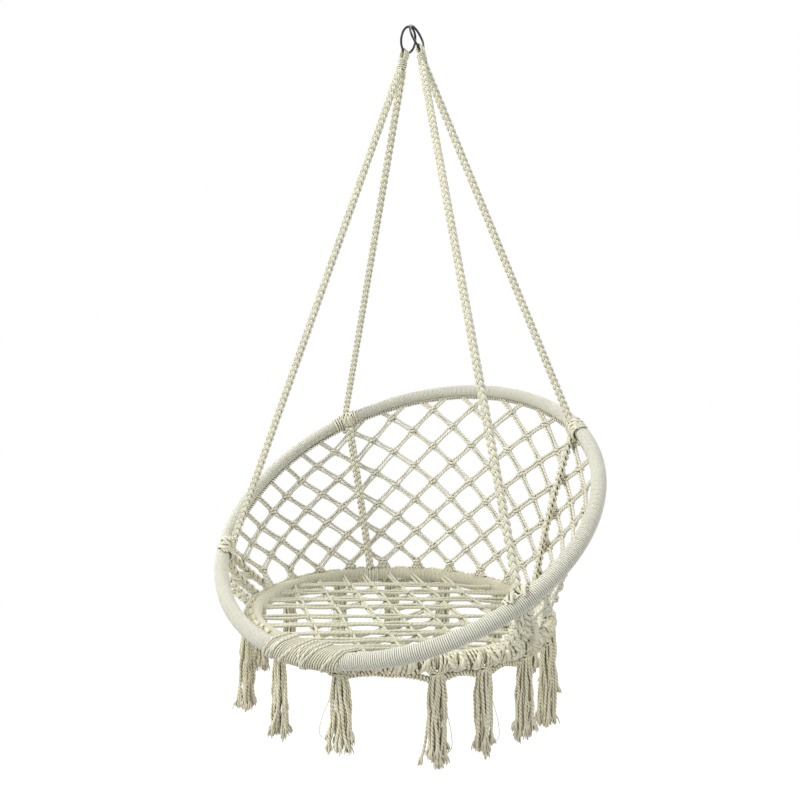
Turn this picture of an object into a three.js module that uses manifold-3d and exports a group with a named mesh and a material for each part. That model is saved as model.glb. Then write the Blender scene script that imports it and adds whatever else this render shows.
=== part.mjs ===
// Hammock chair: two cord-wrapped hoops, a knotted net between them, a seat net, four hanging
// ropes on two steel rings, and a fringe of tassels. Millimetres, +Z up, front towards -Y.
// The origin is the point where the hook bears on the rings.
import * as THREE from "three";
import { mergeVertices } from "three/addons/utils/BufferGeometryUtils.js";
import Module from "manifold-3d";

const wasm = await Module();
wasm.setup();

// Steel rings
const RING_STEPS = 24;
const RING_SIDES = 8;
const RING_OUTER_DIAMETER = 52.5;
const RING_WIRE_DIAMETER = 4.6;
const RING_SPLAY_DEGREES = 18.6;
const RING_GAP = 0.6;

// Hoops
const BACK_HOOP_DIAMETER = 800;
const BACK_HOOP_TILT_DEGREES = 35.32;
const BACK_HOOP_DROP = 950.2;
const BACK_HOOP_SETBACK = -7;
const SEAT_HOOP_DIAMETER = 600;
const STEEL_TUBE_DIAMETER = 22;
const WINDING_DEPTH = 3;
const STEEL_WALL = 1.2;
const HOOP_GAP = 0.3;
const HOOP_SLIT = 2;
const SOFT_CLEARANCE = 0.4;
const HOOP_STEPS = 40;
const HOOP_SIDES = 8;
const WRAP_SIDES = 10;

// Hanging ropes
const ROPE_WIDTH = 15;
const ROPE_THICKNESS = 8;
const ROPE_SIDES = 8;
const ROPE_STEPS = 9;
const ROPE_ROUTE_SHARES = [0.04, 0.3, 0.65, 1];
const ROPE_HEAD_WIDTH = 22;
const ROPE_HEAD_LENGTH = 34;
const EYE_CLEARANCE = 1.6;
const EYE_WALL = 6.5;
const EYE_BREADTH = 11;
const ROPE_PART_DROP = 86;
const BACK_ROPE_DEGREES = 49.7;
const FRONT_ROPE_DEGREES = 58.9;
const LOWER_ROPE_DEGREES = 47;
const LOWER_ROPE_WIDTH = 13;
const LOWER_ROPE_THICKNESS = 8;
const LOWER_ROPE_INSET = 13;

// Knots round the back hoop
const KNOT_LENGTH = 44;
const KNOT_WALL = 8;
const KNOT_SIDES = 10;
const KNOT_BULGE_SHARES = [0.45, 0.6, 0.4, 1, 1, 0.4, 0.6, 0.45];

// Cord bundles below the front knots
const BUNDLE_DEGREES = [25, 16, 6];
const BUNDLE_WIDTH = 17;
const BUNDLE_THICKNESS = 8;
const BUNDLE_OFFSET = 16;
const BUNDLE_STEPS = 5;
const BUNDLE_LANDING_DEGREES = 20;

// Nets
const CORD_DIAMETER = 4.8;
const DOUBLE_CORD_WIDTH = 10.4;
const CORD_KNOT_THICKNESS = 10;
const CORD_KNOT_CORNER_SHARE = 0.55;
const NET_COLUMN_DEGREES = 8.05;
const NET_EDGE_COLUMN = 14;
const NET_TOP_ROW = 9;
const NET_SLANT_COLUMNS = 15;
const NET_LEG_DEGREES = 3.6;
const NET_FOOT_DEGREES = 1.5;
const NET_TOP_SHARE = 0.09;
const NET_SIDE_TOP_SHARE = 0.165;
const NET_SIDE_TOP_STEP_SHARE = 0.037;
const NET_BOTTOM_SHARE = 0.93;
const NET_BOTTOM_RISE_SHARE = 0.0085;
const NET_BOW_SHARE = 0.025;
const SEAT_NET_DEGREES = [-41.5, 36];
const SEAT_LINE_SHARES = [
  [-0.65, -0.437, -0.213, -0.042, 0.175, 0.36, 0.59],
  [0.59, 0.392, 0.196, 0.014, -0.203, -0.378, -0.535, -0.675, -0.79],
];
const SEAT_KNOT_MARGIN = 24;

// Lashing where the hoops touch
const LASHING_CORD_DIAMETER = 4;
const LASHING_TURNS = 11;
const LASHING_PITCH = 5.7;
const LASHING_STEPS = 12;
const LASHING_SIDES = 5;
const LASHING_CLEARANCE = 1;

// Tassels
const TASSEL_DEGREES = [5, 30, 51, 74, 101, 126, 151, 178, 200, 232, 260, 284, 314, 330, 348];
const TASSEL_VALLEY_DEGREES = 16;
const TASSEL_VALLEY_DROP = 6.5;
const TASSEL_LENGTH = 160;
const TASSEL_STRAP_WIDTH = 16;
const TASSEL_STRAP_THICKNESS = 3;
const TASSEL_STRAP_LENGTH = 19;
const TASSEL_STRAP_GAP = 0.2;
const TASSEL_HEAD_WIDTH = 30;
const TASSEL_HEAD_DEPTH = 14;
const TASSEL_HEAD_HEIGHT = 24;
const TASSEL_HEAD_SHARES = [
  [0, 0.6],
  [0.25, 1],
  [0.75, 1],
  [1, 0.6],
];
const TASSEL_NECK_DIAMETER = 25;
const TASSEL_NECK_LENGTH = 9;
const TASSEL_OVERLAP = 3;
const TASSEL_SIDES = 6;
const TASSEL_STRANDS = 7;
const TASSEL_STRAND_WIDTH = 7;
const TASSEL_STRAND_SIDES = 3;
const TASSEL_SPREAD = 17;
const TASSEL_TIP_SHARE = 0.6;

const TURN = 2 * Math.PI;
const UP = new THREE.Vector3(0, 0, 1);
const radians = THREE.MathUtils.degToRad;
const wrapRadius = STEEL_TUBE_DIAMETER / 2 + WINDING_DEPTH;
const wrapInnerRadius = STEEL_TUBE_DIAMETER / 2 + SOFT_CLEARANCE;
const tubeInnerRadius = STEEL_TUBE_DIAMETER / 2 - STEEL_WALL;
const coreRadius = wrapRadius + HOOP_GAP / Math.cos(Math.PI / WRAP_SIDES);
const knotRadius = wrapRadius + KNOT_WALL;

const cordLook = { color: 0xd9d2be, roughness: 0.9, metalness: 0 };
const wrapLook = { color: 0xc9c8bb, roughness: 0.9, metalness: 0 };
const steelLook = { color: 0x4a4c50, roughness: 0.35, metalness: 1 };

const chair = new THREE.Group();

function addPiece(name, geometry, look) {
  const mesh = new THREE.Mesh(geometry, new THREE.MeshStandardMaterial(look));
  mesh.name = name;
  chair.add(mesh);
  return mesh;
}

// Solids for cutting and joining
function toSolid(geometry) {
  const bare = geometry.clone();
  bare.deleteAttribute("normal");
  bare.deleteAttribute("uv");
  const merged = mergeVertices(bare);
  return new wasm.Manifold(
    new wasm.Mesh({
      numProp: 3,
      vertProperties: merged.attributes.position.array,
      triVerts: new Uint32Array(merged.index.array),
    }),
  );
}

function toGeometry(solid) {
  const mesh = solid.getMesh();
  const geometry = new THREE.BufferGeometry();
  geometry.setAttribute("position", new THREE.BufferAttribute(mesh.vertProperties, mesh.numProp));
  geometry.setIndex(new THREE.BufferAttribute(mesh.triVerts, 1));
  return geometry;
}

function joined(geometries) {
  return geometries.map(toSolid).reduce((whole, next) => whole.add(next));
}

// A closed body from a list of corner points, three to a triangle
function bodyOfTriangles(corners) {
  const geometry = new THREE.BufferGeometry().setFromPoints(corners);
  return mergeVertices(geometry);
}

// Side walls between two rings of points that run the same way round
function wallBetween(corners, near, far) {
  near.forEach((corner, index) => {
    const next = (index + 1) % near.length;
    corners.push(corner, near[next], far[next]);
    corners.push(corner, far[next], far[index]);
  });
}

function capOf(corners, ring) {
  for (let index = 2; index < ring.length; index += 1) {
    corners.push(ring[0], ring[index - 1], ring[index]);
  }
}

// A closed body through a row of rings
function loft(rings) {
  const corners = [];
  capOf(corners, [...rings[0]].reverse());
  for (let index = 1; index < rings.length; index += 1) {
    wallBetween(corners, rings[index - 1], rings[index]);
  }
  capOf(corners, rings[rings.length - 1]);
  return bodyOfTriangles(corners);
}

function ellipsePoints(width, depth, sides) {
  const turns = Array.from({ length: sides }, (_, index) => (TURN * index) / sides);
  return turns.map((turn) => new THREE.Vector2((Math.cos(turn) * width) / 2, (Math.sin(turn) * depth) / 2));
}

// A point moved along some directions, each with its distance
function offset(start, ...moves) {
  const moved = start.clone();
  moves.forEach(([direction, distance]) => moved.addScaledVector(direction, distance));
  return moved;
}

// Hoops
class HoopPath extends THREE.Curve {
  constructor(hoop) {
    super();
    this.hoop = hoop;
  }

  getPoint(share, target = new THREE.Vector3()) {
    return target.copy(this.hoop.at(this.hoop.start + share * HOOP_STEPS * this.hoop.step));
  }
}

function makeHoop(radius, centre, rise) {
  const side = new THREE.Vector3(1, 0, 0);
  const back = new THREE.Vector3(0, Math.cos(rise), Math.sin(rise));
  const slit = HOOP_SLIT / radius;
  const start = (slit - Math.PI) / 2;
  const step = (TURN - slit) / HOOP_STEPS;
  const hoop = { radius, start, step, facing: new THREE.Vector3().crossVectors(side, back) };
  hoop.outward = (angle) => offset(new THREE.Vector3(), [side, Math.cos(angle)], [back, Math.sin(angle)]);
  hoop.at = (angle) => offset(centre, [hoop.outward(angle), radius]);
  hoop.along = (angle) => hoop.outward(angle + Math.PI / 2);
  // The point on the faceted centre line, which lies a little inside the circle
  hoop.wire = (angle) => {
    const turned = THREE.MathUtils.euclideanModulo(angle - start + slit / 2, TURN) - slit / 2;
    const steps = THREE.MathUtils.clamp(turned / step, 0, HOOP_STEPS);
    const before = Math.min(Math.floor(steps), HOOP_STEPS - 1);
    return hoop.at(start + before * step).lerp(hoop.at(start + (before + 1) * step), steps - before);
  };
  return hoop;
}

const backTilt = radians(BACK_HOOP_TILT_DEGREES);
const backRadius = BACK_HOOP_DIAMETER / 2 - wrapRadius;
const seatRadius = SEAT_HOOP_DIAMETER / 2 - wrapRadius;
const backCentre = new THREE.Vector3(0, BACK_HOOP_SETBACK, -BACK_HOOP_DROP);
const backHoop = makeHoop(backRadius, backCentre, backTilt);
const backFront = backHoop.at(-Math.PI / 2);
const seatSetback = backFront.y + 2 * wrapRadius + HOOP_GAP + seatRadius;
const seatCentre = new THREE.Vector3(0, seatSetback, backFront.z);
const seatHoop = makeHoop(seatRadius, seatCentre, 0);

function sectionOf(width, depth, sides) {
  return new THREE.Shape(ellipsePoints(width, depth, sides));
}

function hoopTube(hoop, outerRadius, sides, innerRadius) {
  const section = sectionOf(2 * outerRadius, 2 * outerRadius, sides);
  if (innerRadius) {
    section.holes.push(new THREE.Path(ellipsePoints(2 * innerRadius, 2 * innerRadius, HOOP_SIDES)));
  }
  const path = new HoopPath(hoop);
  return new THREE.ExtrudeGeometry(section, { steps: HOOP_STEPS, bevelEnabled: false, extrudePath: path });
}

function addHoop(name, hoop) {
  const outer = STEEL_TUBE_DIAMETER / 2;
  const frame = hoopTube(hoop, outer, HOOP_SIDES, tubeInnerRadius);
  addPiece(`${name}_frame`, frame, steelLook);
  const wrap = hoopTube(hoop, wrapRadius, WRAP_SIDES, wrapInnerRadius);
  addPiece(`${name}_wrap`, wrap, wrapLook);
  hoop.core = toSolid(hoopTube(hoop, coreRadius, WRAP_SIDES));
}

addHoop("back_hoop", backHoop);
addHoop("seat_hoop", seatHoop);

// Steel rings and the folded rope heads that hang in them
const ringRadius = (RING_OUTER_DIAMETER - RING_WIRE_DIAMETER) / 2;
const ringSplay = radians(RING_SPLAY_DEGREES);
const ringTopSide = (RING_WIRE_DIAMETER + RING_GAP) / 2;
function ringPlace(side, distanceDown) {
  const across = ringTopSide + Math.sin(ringSplay) * distanceDown;
  const height = RING_WIRE_DIAMETER / 2 - Math.cos(ringSplay) * distanceDown;
  return new THREE.Vector3(side * across, 0, height);
}

function addRing(name, side) {
  const geometry = new THREE.TorusGeometry(ringRadius, RING_WIRE_DIAMETER / 2, RING_SIDES, RING_STEPS);
  geometry.rotateY(Math.PI / 2 - side * ringSplay);
  const ring = addPiece(`hanging_ring_${name}`, bodyOfTriangles(cornersOf(geometry)), steelLook);
  ring.position.copy(ringPlace(side, ringRadius));
}

function cornersOf(geometry) {
  const loose = geometry.toNonIndexed().getAttribute("position");
  return Array.from({ length: loose.count }, (_, index) => new THREE.Vector3().fromBufferAttribute(loose, index));
}

const eyeRadius = RING_WIRE_DIAMETER / 2 + EYE_CLEARANCE;
const eyeOuterRadius = eyeRadius + EYE_WALL;
const headDepth = 2 * ROPE_THICKNESS + SOFT_CLEARANCE;

function eyeGeometry() {
  const outline = new THREE.Shape();
  outline.absarc(0, 0, eyeOuterRadius, 0, Math.PI);
  outline.lineTo(-eyeOuterRadius, -ROPE_HEAD_LENGTH);
  outline.lineTo(eyeOuterRadius, -ROPE_HEAD_LENGTH);
  outline.holes.push(new THREE.Path().absarc(0, 0, eyeRadius, 0, TURN, true));
  const options = { depth: EYE_BREADTH, bevelEnabled: false, curveSegments: RING_SIDES };
  return new THREE.ExtrudeGeometry(outline, options).translate(0, 0, -EYE_BREADTH / 2).rotateX(Math.PI / 2);
}

function addRopeHead(name, side) {
  const bindingLength = ROPE_HEAD_LENGTH - eyeOuterRadius;
  const section = sectionOf(ROPE_HEAD_WIDTH, headDepth + ROPE_THICKNESS / 2, ROPE_SIDES);
  const binding = new THREE.ExtrudeGeometry(section, { depth: bindingLength, bevelEnabled: false });
  binding.translate(0, 0, -ROPE_HEAD_LENGTH);
  const head = addPiece(`rope_head_${name}`, toGeometry(joined([eyeGeometry(), binding])), cordLook);
  head.position.copy(ringPlace(side, 2 * ringRadius));
}

// Knots round the back hoop, with a lashing band on each side
function knotBody(angle, extra) {
  const halfTurn = KNOT_LENGTH / 2 / backRadius;
  const last = KNOT_BULGE_SHARES.length - 1;
  const rings = KNOT_BULGE_SHARES.map((share, index) => {
    const turn = angle + halfTurn * ((2 * index) / last - 1);
    const radius = wrapRadius + KNOT_WALL * share + extra;
    return ringAround(backHoop, turn, radius, KNOT_SIDES);
  });
  return toSolid(loft(rings));
}

function ringAround(hoop, angle, radius, sides) {
  const centre = hoop.at(angle);
  return ellipsePoints(2 * radius, 2 * radius, sides).map((spot) =>
    offset(centre, [hoop.outward(angle), spot.x], [hoop.facing, -spot.y]),
  );
}

// Hanging ropes, from a rope head to a knot
function ropeSolid(points, width, thickness, steps) {
  const path = new THREE.CatmullRomCurve3(points, false, "centripetal");
  const section = sectionOf(thickness, width, ROPE_SIDES);
  return toSolid(new THREE.ExtrudeGeometry(section, { steps, bevelEnabled: false, extrudePath: path }));
}

function hangingRope(side, turned, angle, cutter) {
  const head = ringPlace(side, 2 * ringRadius);
  const start = offset(head, [UP, -ROPE_HEAD_LENGTH - HOOP_GAP]);
  start.y = (turned * headDepth) / 4;
  const parting = start.clone().setZ(-ROPE_PART_DROP);
  const target = backHoop.at(angle);
  const straight = ROPE_ROUTE_SHARES.map((share) => parting.clone().lerp(target, share));
  return ropeSolid([start, parting, ...straight], ROPE_WIDTH, ROPE_THICKNESS, ROPE_STEPS).subtract(cutter);
}

// Lower back ropes, just inside the net, from the back knot to the seat hoop
function lowerRope(side, angle, cutter) {
  const landing = Math.PI / 2 - side * radians(LOWER_ROPE_DEGREES);
  const inward = seatHoop.outward(landing).negate();
  const top = offset(backHoop.at(angle), [inward, LOWER_ROPE_INSET]);
  const bottom = offset(seatHoop.at(landing), [inward, wrapRadius / 2], [UP, wrapRadius / 2]);
  const middle = offset(top.clone().lerp(bottom, 0.5), [inward, LOWER_ROPE_INSET / 2]);
  const rope = ropeSolid([top, middle, bottom], LOWER_ROPE_WIDTH, LOWER_ROPE_THICKNESS, ROPE_STEPS);
  return rope.subtract(cutter).subtract(seatHoop.core);
}

// Cord bundles that fan out from a front knot to the seat hoop
function sideBundles(side, angle, cutter) {
  const bundles = BUNDLE_DEGREES.map((degrees) => {
    const landing = side > 0 ? -radians(degrees) : Math.PI + radians(degrees);
    const outward = seatHoop.outward(landing);
    const top = backHoop.at(angle);
    const climb = radians(BUNDLE_LANDING_DEGREES);
    const bottom = offset(
      seatHoop.at(landing),
      [outward, wrapRadius * Math.cos(climb)],
      [UP, wrapRadius * Math.sin(climb)],
    );
    const middle = offset(top.clone().lerp(bottom, 0.5), [outward, BUNDLE_OFFSET]);
    return ropeSolid([top, middle, bottom], BUNDLE_WIDTH, BUNDLE_THICKNESS, BUNDLE_STEPS);
  });
  return bundles.reduce((whole, next) => whole.add(next)).subtract(cutter).subtract(seatHoop.core);
}

const backKnotAngle = (side) => Math.PI / 2 - side * radians(BACK_ROPE_DEGREES);
const frontKnotAngle = (side) => Math.PI / 2 - side * (Math.PI - radians(FRONT_ROPE_DEGREES));
const knotAngles = [-1, 1].flatMap((side) => [backKnotAngle(side), frontKnotAngle(side)]);

function addSide(name, side) {
  addRing(name, side);
  addRopeHead(name, side);
  const ends = [
    ["back", backKnotAngle(side), 1],
    ["front", frontKnotAngle(side), -1],
  ];
  ends.forEach(([end, angle, turned]) => {
    const cutter = knotBody(angle, HOOP_GAP);
    const knot = knotBody(angle, 0).subtract(backHoop.core);
    addPiece(`knot_${end}_${name}`, toGeometry(knot), cordLook);
    addPiece(`rope_${end}_${name}`, toGeometry(hangingRope(side, turned, angle, cutter)), cordLook);
    if (turned > 0) {
      addPiece(`rope_lower_${name}`, toGeometry(lowerRope(side, angle, cutter)), cordLook);
    } else {
      addPiece(`side_cords_${name}`, toGeometry(sideBundles(side, angle, cutter)), cordLook);
    }
  });
}

addSide("left", -1);
addSide("right", 1);

// Knotted nets: each knot is a small raised block with a port on each side, and each pair of
// cords is a flat bar between two ports or from a port to a hoop
class Net {
  constructor() {
    this.knots = new Map();
    this.bars = [];
  }

  addKnot(key, centre, normal) {
    this.knots.set(key, { centre, normal, ports: [] });
  }

  addBar(fromKey, toKey) {
    const from = this.knots.get(fromKey);
    const to = this.knots.get(toKey);
    const ports = [this.addPort(from, to.centre), this.addPort(to, from.centre)];
    this.bars.push({ near: ports[0], far: ports[1] });
  }

  addLeg(key, pad) {
    const near = this.addPort(this.knots.get(key), pad.centre);
    this.bars.push({ near, pad });
  }

  addPort(knot, goal) {
    const port = { knot, toward: goal.clone().sub(knot.centre).projectOnPlane(knot.normal).normalize() };
    knot.ports.push(port);
    return port;
  }

  geometry() {
    const corners = [];
    this.knots.forEach((knot) => shapeKnot(corners, knot));
    this.bars.forEach((bar) => {
      const far = bar.pad ? padRing(bar.pad, bar.near) : farRing(bar.far.ring);
      wallBetween(corners, bar.near.ring, far);
      if (bar.pad) capOf(corners, far);
    });
    return bodyOfTriangles(corners);
  }
}

// The ring of a port, seen from its own knot: left top, right top, right bottom, left bottom
function farRing([leftTop, rightTop, rightBottom, leftBottom]) {
  return [rightTop, leftTop, leftBottom, rightBottom];
}

function shapeKnot(corners, knot) {
  const { centre, normal, ports } = knot;
  const east = ports[0].toward;
  const north = new THREE.Vector3().crossVectors(normal, east);
  const bearing = (port) => (Math.atan2(port.toward.dot(north), port.toward.dot(east)) + TURN) % TURN;
  const sorted = [...ports].sort((one, two) => bearing(one) - bearing(two));
  const spots = sorted.map((port, index) => {
    const from = bearing(port);
    const to = index + 1 < sorted.length ? bearing(sorted[index + 1]) : TURN;
    const half = (to - from) / 2;
    const reach = DOUBLE_CORD_WIDTH / 2 / Math.max(Math.sin(half), CORD_KNOT_CORNER_SHARE);
    const turn = from + half;
    const spot = offset(centre, [east, Math.cos(turn) * reach], [north, Math.sin(turn) * reach]);
    return [offset(spot, [normal, CORD_DIAMETER / 2]), offset(spot, [normal, -CORD_DIAMETER / 2])];
  });
  const front = offset(centre, [normal, CORD_KNOT_THICKNESS / 2]);
  const rear = offset(centre, [normal, -CORD_KNOT_THICKNESS / 2]);
  sorted.forEach((port, index) => {
    const left = spots[index];
    const right = spots[(index + spots.length - 1) % spots.length];
    port.ring = [left[0], right[0], right[1], left[1]];
    corners.push(front, right[0], left[0]);
    corners.push(rear, left[1], right[1]);
  });
}

function padRing(pad, port) {
  const toward = pad.centre.clone().sub(port.knot.centre).normalize();
  const right = new THREE.Vector3().crossVectors(toward, port.knot.normal);
  const along = pad.along.clone().multiplyScalar(Math.sign(pad.along.dot(right)));
  const top = new THREE.Vector3().crossVectors(pad.away, along);
  top.multiplyScalar(Math.sign(top.dot(port.knot.normal)));
  const half = DOUBLE_CORD_WIDTH / 2;
  const deep = CORD_DIAMETER / 2;
  return [
    offset(pad.centre, [along, -half], [top, deep]),
    offset(pad.centre, [along, half], [top, deep]),
    offset(pad.centre, [along, half], [top, -deep]),
    offset(pad.centre, [along, -half], [top, -deep]),
  ];
}

// A pad lies flat against a hoop's winding, on the side that faces the knot
function hoopPad(hoop, angle, knotCentre, surfaceRadius) {
  const along = hoop.along(angle);
  const wire = hoop.wire(angle);
  const away = knotCentre.clone().sub(wire).projectOnPlane(along).normalize();
  return { centre: offset(wire, [away, surfaceRadius + HOOP_GAP]), along, away };
}

// A leg that comes down on a rope's knot stops at the knot's surface
function backHoopPad(angle, knotCentre) {
  const taken = (KNOT_LENGTH + DOUBLE_CORD_WIDTH) / 2 / backRadius;
  const onKnot = knotAngles.some((place) => Math.abs(place - angle) < taken);
  return hoopPad(backHoop, angle, knotCentre, onKnot ? knotRadius : wrapRadius);
}

const column = (index) => Math.PI / 2 + radians(NET_COLUMN_DEGREES) * index;

function netPoint(angle, share) {
  return backHoop.at(angle).lerp(seatHoop.at(angle), share);
}

function netNormal(angle, share) {
  const nudge = radians(NET_COLUMN_DEGREES) / 4;
  const across = netPoint(angle + nudge, share).sub(netPoint(angle - nudge, share));
  const down = netPoint(angle, 1).sub(netPoint(angle, 0));
  return across.cross(down).normalize();
}

function netShare(index, row) {
  const far = Math.abs(index);
  const sideways = Math.max(0, far - (NET_SLANT_COLUMNS - NET_TOP_ROW + 1));
  const topRow = Math.min(NET_TOP_ROW, NET_SLANT_COLUMNS - far);
  const atSide = far > NET_SLANT_COLUMNS - NET_TOP_ROW;
  const top = atSide ? NET_SIDE_TOP_SHARE + NET_SIDE_TOP_STEP_SHARE * sideways : NET_TOP_SHARE;
  const bottom = NET_BOTTOM_SHARE - NET_BOTTOM_RISE_SHARE * Math.max(0, sideways - 1) ** 2;
  const fallen = (topRow - row) / topRow;
  const bow = atSide ? 0 : NET_BOW_SHARE * Math.sin(Math.PI * fallen);
  return top + (bottom - top) * fallen + bow;
}

function backNet() {
  const net = new Net();
  const key = (index, row) => `${index},${row}`;
  const places = [];
  for (let index = -NET_EDGE_COLUMN; index <= NET_EDGE_COLUMN; index += 1) {
    for (let row = 0; row <= NET_TOP_ROW; row += 1) {
      const staggered = Math.abs(index + row) % 2 === 1;
      if (staggered && row + Math.abs(index) <= NET_SLANT_COLUMNS) places.push([index, row]);
    }
  }
  places.forEach(([index, row]) => {
    const share = netShare(index, row);
    net.addKnot(key(index, row), netPoint(column(index), share), netNormal(column(index), share));
  });
  places.forEach(([index, row]) => {
    const centre = net.knots.get(key(index, row)).centre;
    [-1, 1].forEach((side) => {
      const outer = Math.sign(index) === side || index === 0;
      if (net.knots.has(key(index + side, row - 1))) {
        net.addBar(key(index, row), key(index + side, row - 1));
      } else if (row === 0) {
        const angle = column(index) + side * radians(NET_FOOT_DEGREES);
        net.addLeg(key(index, row), hoopPad(seatHoop, angle, centre, wrapRadius));
      }
      if (row === NET_TOP_ROW) {
        const angle = column(index) + side * radians(NET_LEG_DEGREES);
        if (!net.knots.has(key(index + side, row + 1))) {
          net.addLeg(key(index, row), backHoopPad(angle, centre));
        }
      } else if (outer && row + Math.abs(index) === NET_SLANT_COLUMNS) {
        const angle = column(index) + side * radians(NET_LEG_DEGREES);
        net.addLeg(key(index, row), backHoopPad(angle, centre));
      }
    });
  });
  return net.geometry();
}

addPiece("back_net", backNet(), cordLook);

// Seat net: two families of straight double cords, knotted where they cross
function seatNet() {
  const net = new Net();
  const lines = SEAT_NET_DEGREES.map((degrees, family) => {
    const angle = radians(degrees);
    const along = new THREE.Vector3(Math.cos(angle), Math.sin(angle), 0);
    const across = new THREE.Vector3(-Math.sin(angle), Math.cos(angle), 0);
    return SEAT_LINE_SHARES[family].map((share) => ({ along, across, away: share * seatRadius, knots: [] }));
  });
  lines[0].forEach((first, row) => {
    lines[1].forEach((second, file) => {
      const crossing = crossingOf(first, second);
      if (crossing.distanceTo(seatCentre) > seatRadius - wrapRadius - SEAT_KNOT_MARGIN) return;
      const key = `${row},${file}`;
      net.addKnot(key, crossing, UP);
      first.knots.push(key);
      second.knots.push(key);
    });
  });
  lines.flat().forEach((line) => {
    const reach = (key) => net.knots.get(key).centre.dot(line.along);
    const keys = line.knots.sort((one, two) => reach(one) - reach(two));
    if (!keys.length) return;
    keys.slice(1).forEach((key, index) => net.addBar(keys[index], key));
    net.addLeg(keys[0], rimPad(line, -1));
    net.addLeg(keys[keys.length - 1], rimPad(line, 1));
  });
  return net.geometry();
}

function crossingOf(first, second) {
  const lean = first.along.dot(second.across);
  const travel = (second.away - first.away * first.across.dot(second.across)) / lean;
  return offset(seatCentre, [first.across, first.away], [first.along, travel]);
}

// Where a seat cord meets the rim, or the lashing at the front of the rim
function rimPad(line, end) {
  const lashed = wrapRadius + 2 * LASHING_CLEARANCE + LASHING_CORD_DIAMETER + 2 * HOOP_GAP;
  const plain = wrapRadius + HOOP_GAP + seatRadius * (1 - Math.cos(Math.PI / HOOP_STEPS));
  const meeting = (depth) => {
    const inner = seatRadius - depth;
    const travel = Math.sqrt(inner ** 2 - line.away ** 2);
    return offset(seatCentre, [line.across, line.away], [line.along, end * travel]);
  };
  const atLashing = Math.abs(meeting(plain).x) < lashingLength / 2 + DOUBLE_CORD_WIDTH;
  const inFront = meeting(plain).y < seatCentre.y;
  const centre = meeting(atLashing && inFront ? lashed : plain);
  const away = seatCentre.clone().sub(centre).normalize();
  return { centre, away, along: new THREE.Vector3().crossVectors(UP, away) };
}

const lashingLength = LASHING_TURNS * LASHING_PITCH;

addPiece("seat_net", seatNet(), cordLook);

// The lashing winds round both hoops where they lie side by side
function lashingPoint(turn) {
  const across = (turn - LASHING_TURNS / 2) * LASHING_PITCH;
  const seat = seatHoop.wire(-Math.acos(across / seatRadius));
  const back = backHoop.wire(-Math.acos(across / backRadius));
  const outward = back.clone().sub(seat).setX(0).normalize();
  const upward = new THREE.Vector3(outward.x, -outward.z, outward.y);
  const angle = TURN * turn + Math.PI / LASHING_STEPS;
  const windingRadius = wrapRadius + LASHING_CLEARANCE + LASHING_CORD_DIAMETER / 2;
  const reach = windingRadius / Math.cos(Math.PI / LASHING_STEPS);
  const centre = Math.cos(angle) > 0 ? back : seat;
  const radial = offset(new THREE.Vector3(), [outward, Math.cos(angle)], [upward, Math.sin(angle)]);
  return { spot: offset(centre, [radial, reach]), radial };
}

function lashing() {
  const count = LASHING_TURNS * LASHING_STEPS;
  const places = Array.from({ length: count + 1 }, (_, index) => lashingPoint(index / LASHING_STEPS));
  const rings = places.map(({ spot, radial }, index) => {
    const before = places[Math.max(0, index - 1)].spot;
    const after = places[Math.min(count, index + 1)].spot;
    const along = after.clone().sub(before).normalize();
    const out = radial.clone().projectOnPlane(along).normalize();
    const side = new THREE.Vector3().crossVectors(along, out);
    return ellipsePoints(LASHING_CORD_DIAMETER, LASHING_CORD_DIAMETER, LASHING_SIDES).map((corner) =>
      offset(spot, [out, corner.x], [side, corner.y]),
    );
  });
  console.log(`lashing: least gap ${leastGap(places.map((place) => place.spot)).toFixed(2)} mm`);
  return loft(rings);
}

// The least gap between the turns of the winding, measured on its centre line
function leastGap(spots) {
  let least = Infinity;
  spots.forEach((spot, index) => {
    for (let other = index + LASHING_STEPS / 2; other < spots.length; other += 1) {
      least = Math.min(least, spot.distanceTo(spots[other]));
    }
  });
  return least - LASHING_CORD_DIAMETER;
}

addPiece("front_lashing", lashing(), cordLook);

// Tassels: a strap down the outside of the seat hoop, a knotted head, a neck and loose strands
function levelRing(width, depth, height, sides) {
  return ellipsePoints(width, depth, sides).map((spot) => new THREE.Vector3(spot.y, spot.x, height));
}

function strand(turn, top, bottom) {
  const neckSpread = (TASSEL_NECK_DIAMETER - TASSEL_STRAND_WIDTH) / 2;
  const stations = [
    [top, neckSpread, TASSEL_STRAND_WIDTH],
    [bottom, TASSEL_SPREAD, TASSEL_STRAND_WIDTH * TASSEL_TIP_SHARE],
  ];
  const rings = stations.map(([height, spread, width]) => {
    const centre = new THREE.Vector3(Math.cos(turn) * spread, Math.sin(turn) * spread, 0);
    return levelRing(width, width, height, TASSEL_STRAND_SIDES).map((spot) => spot.add(centre));
  });
  return loft(rings);
}

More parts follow.
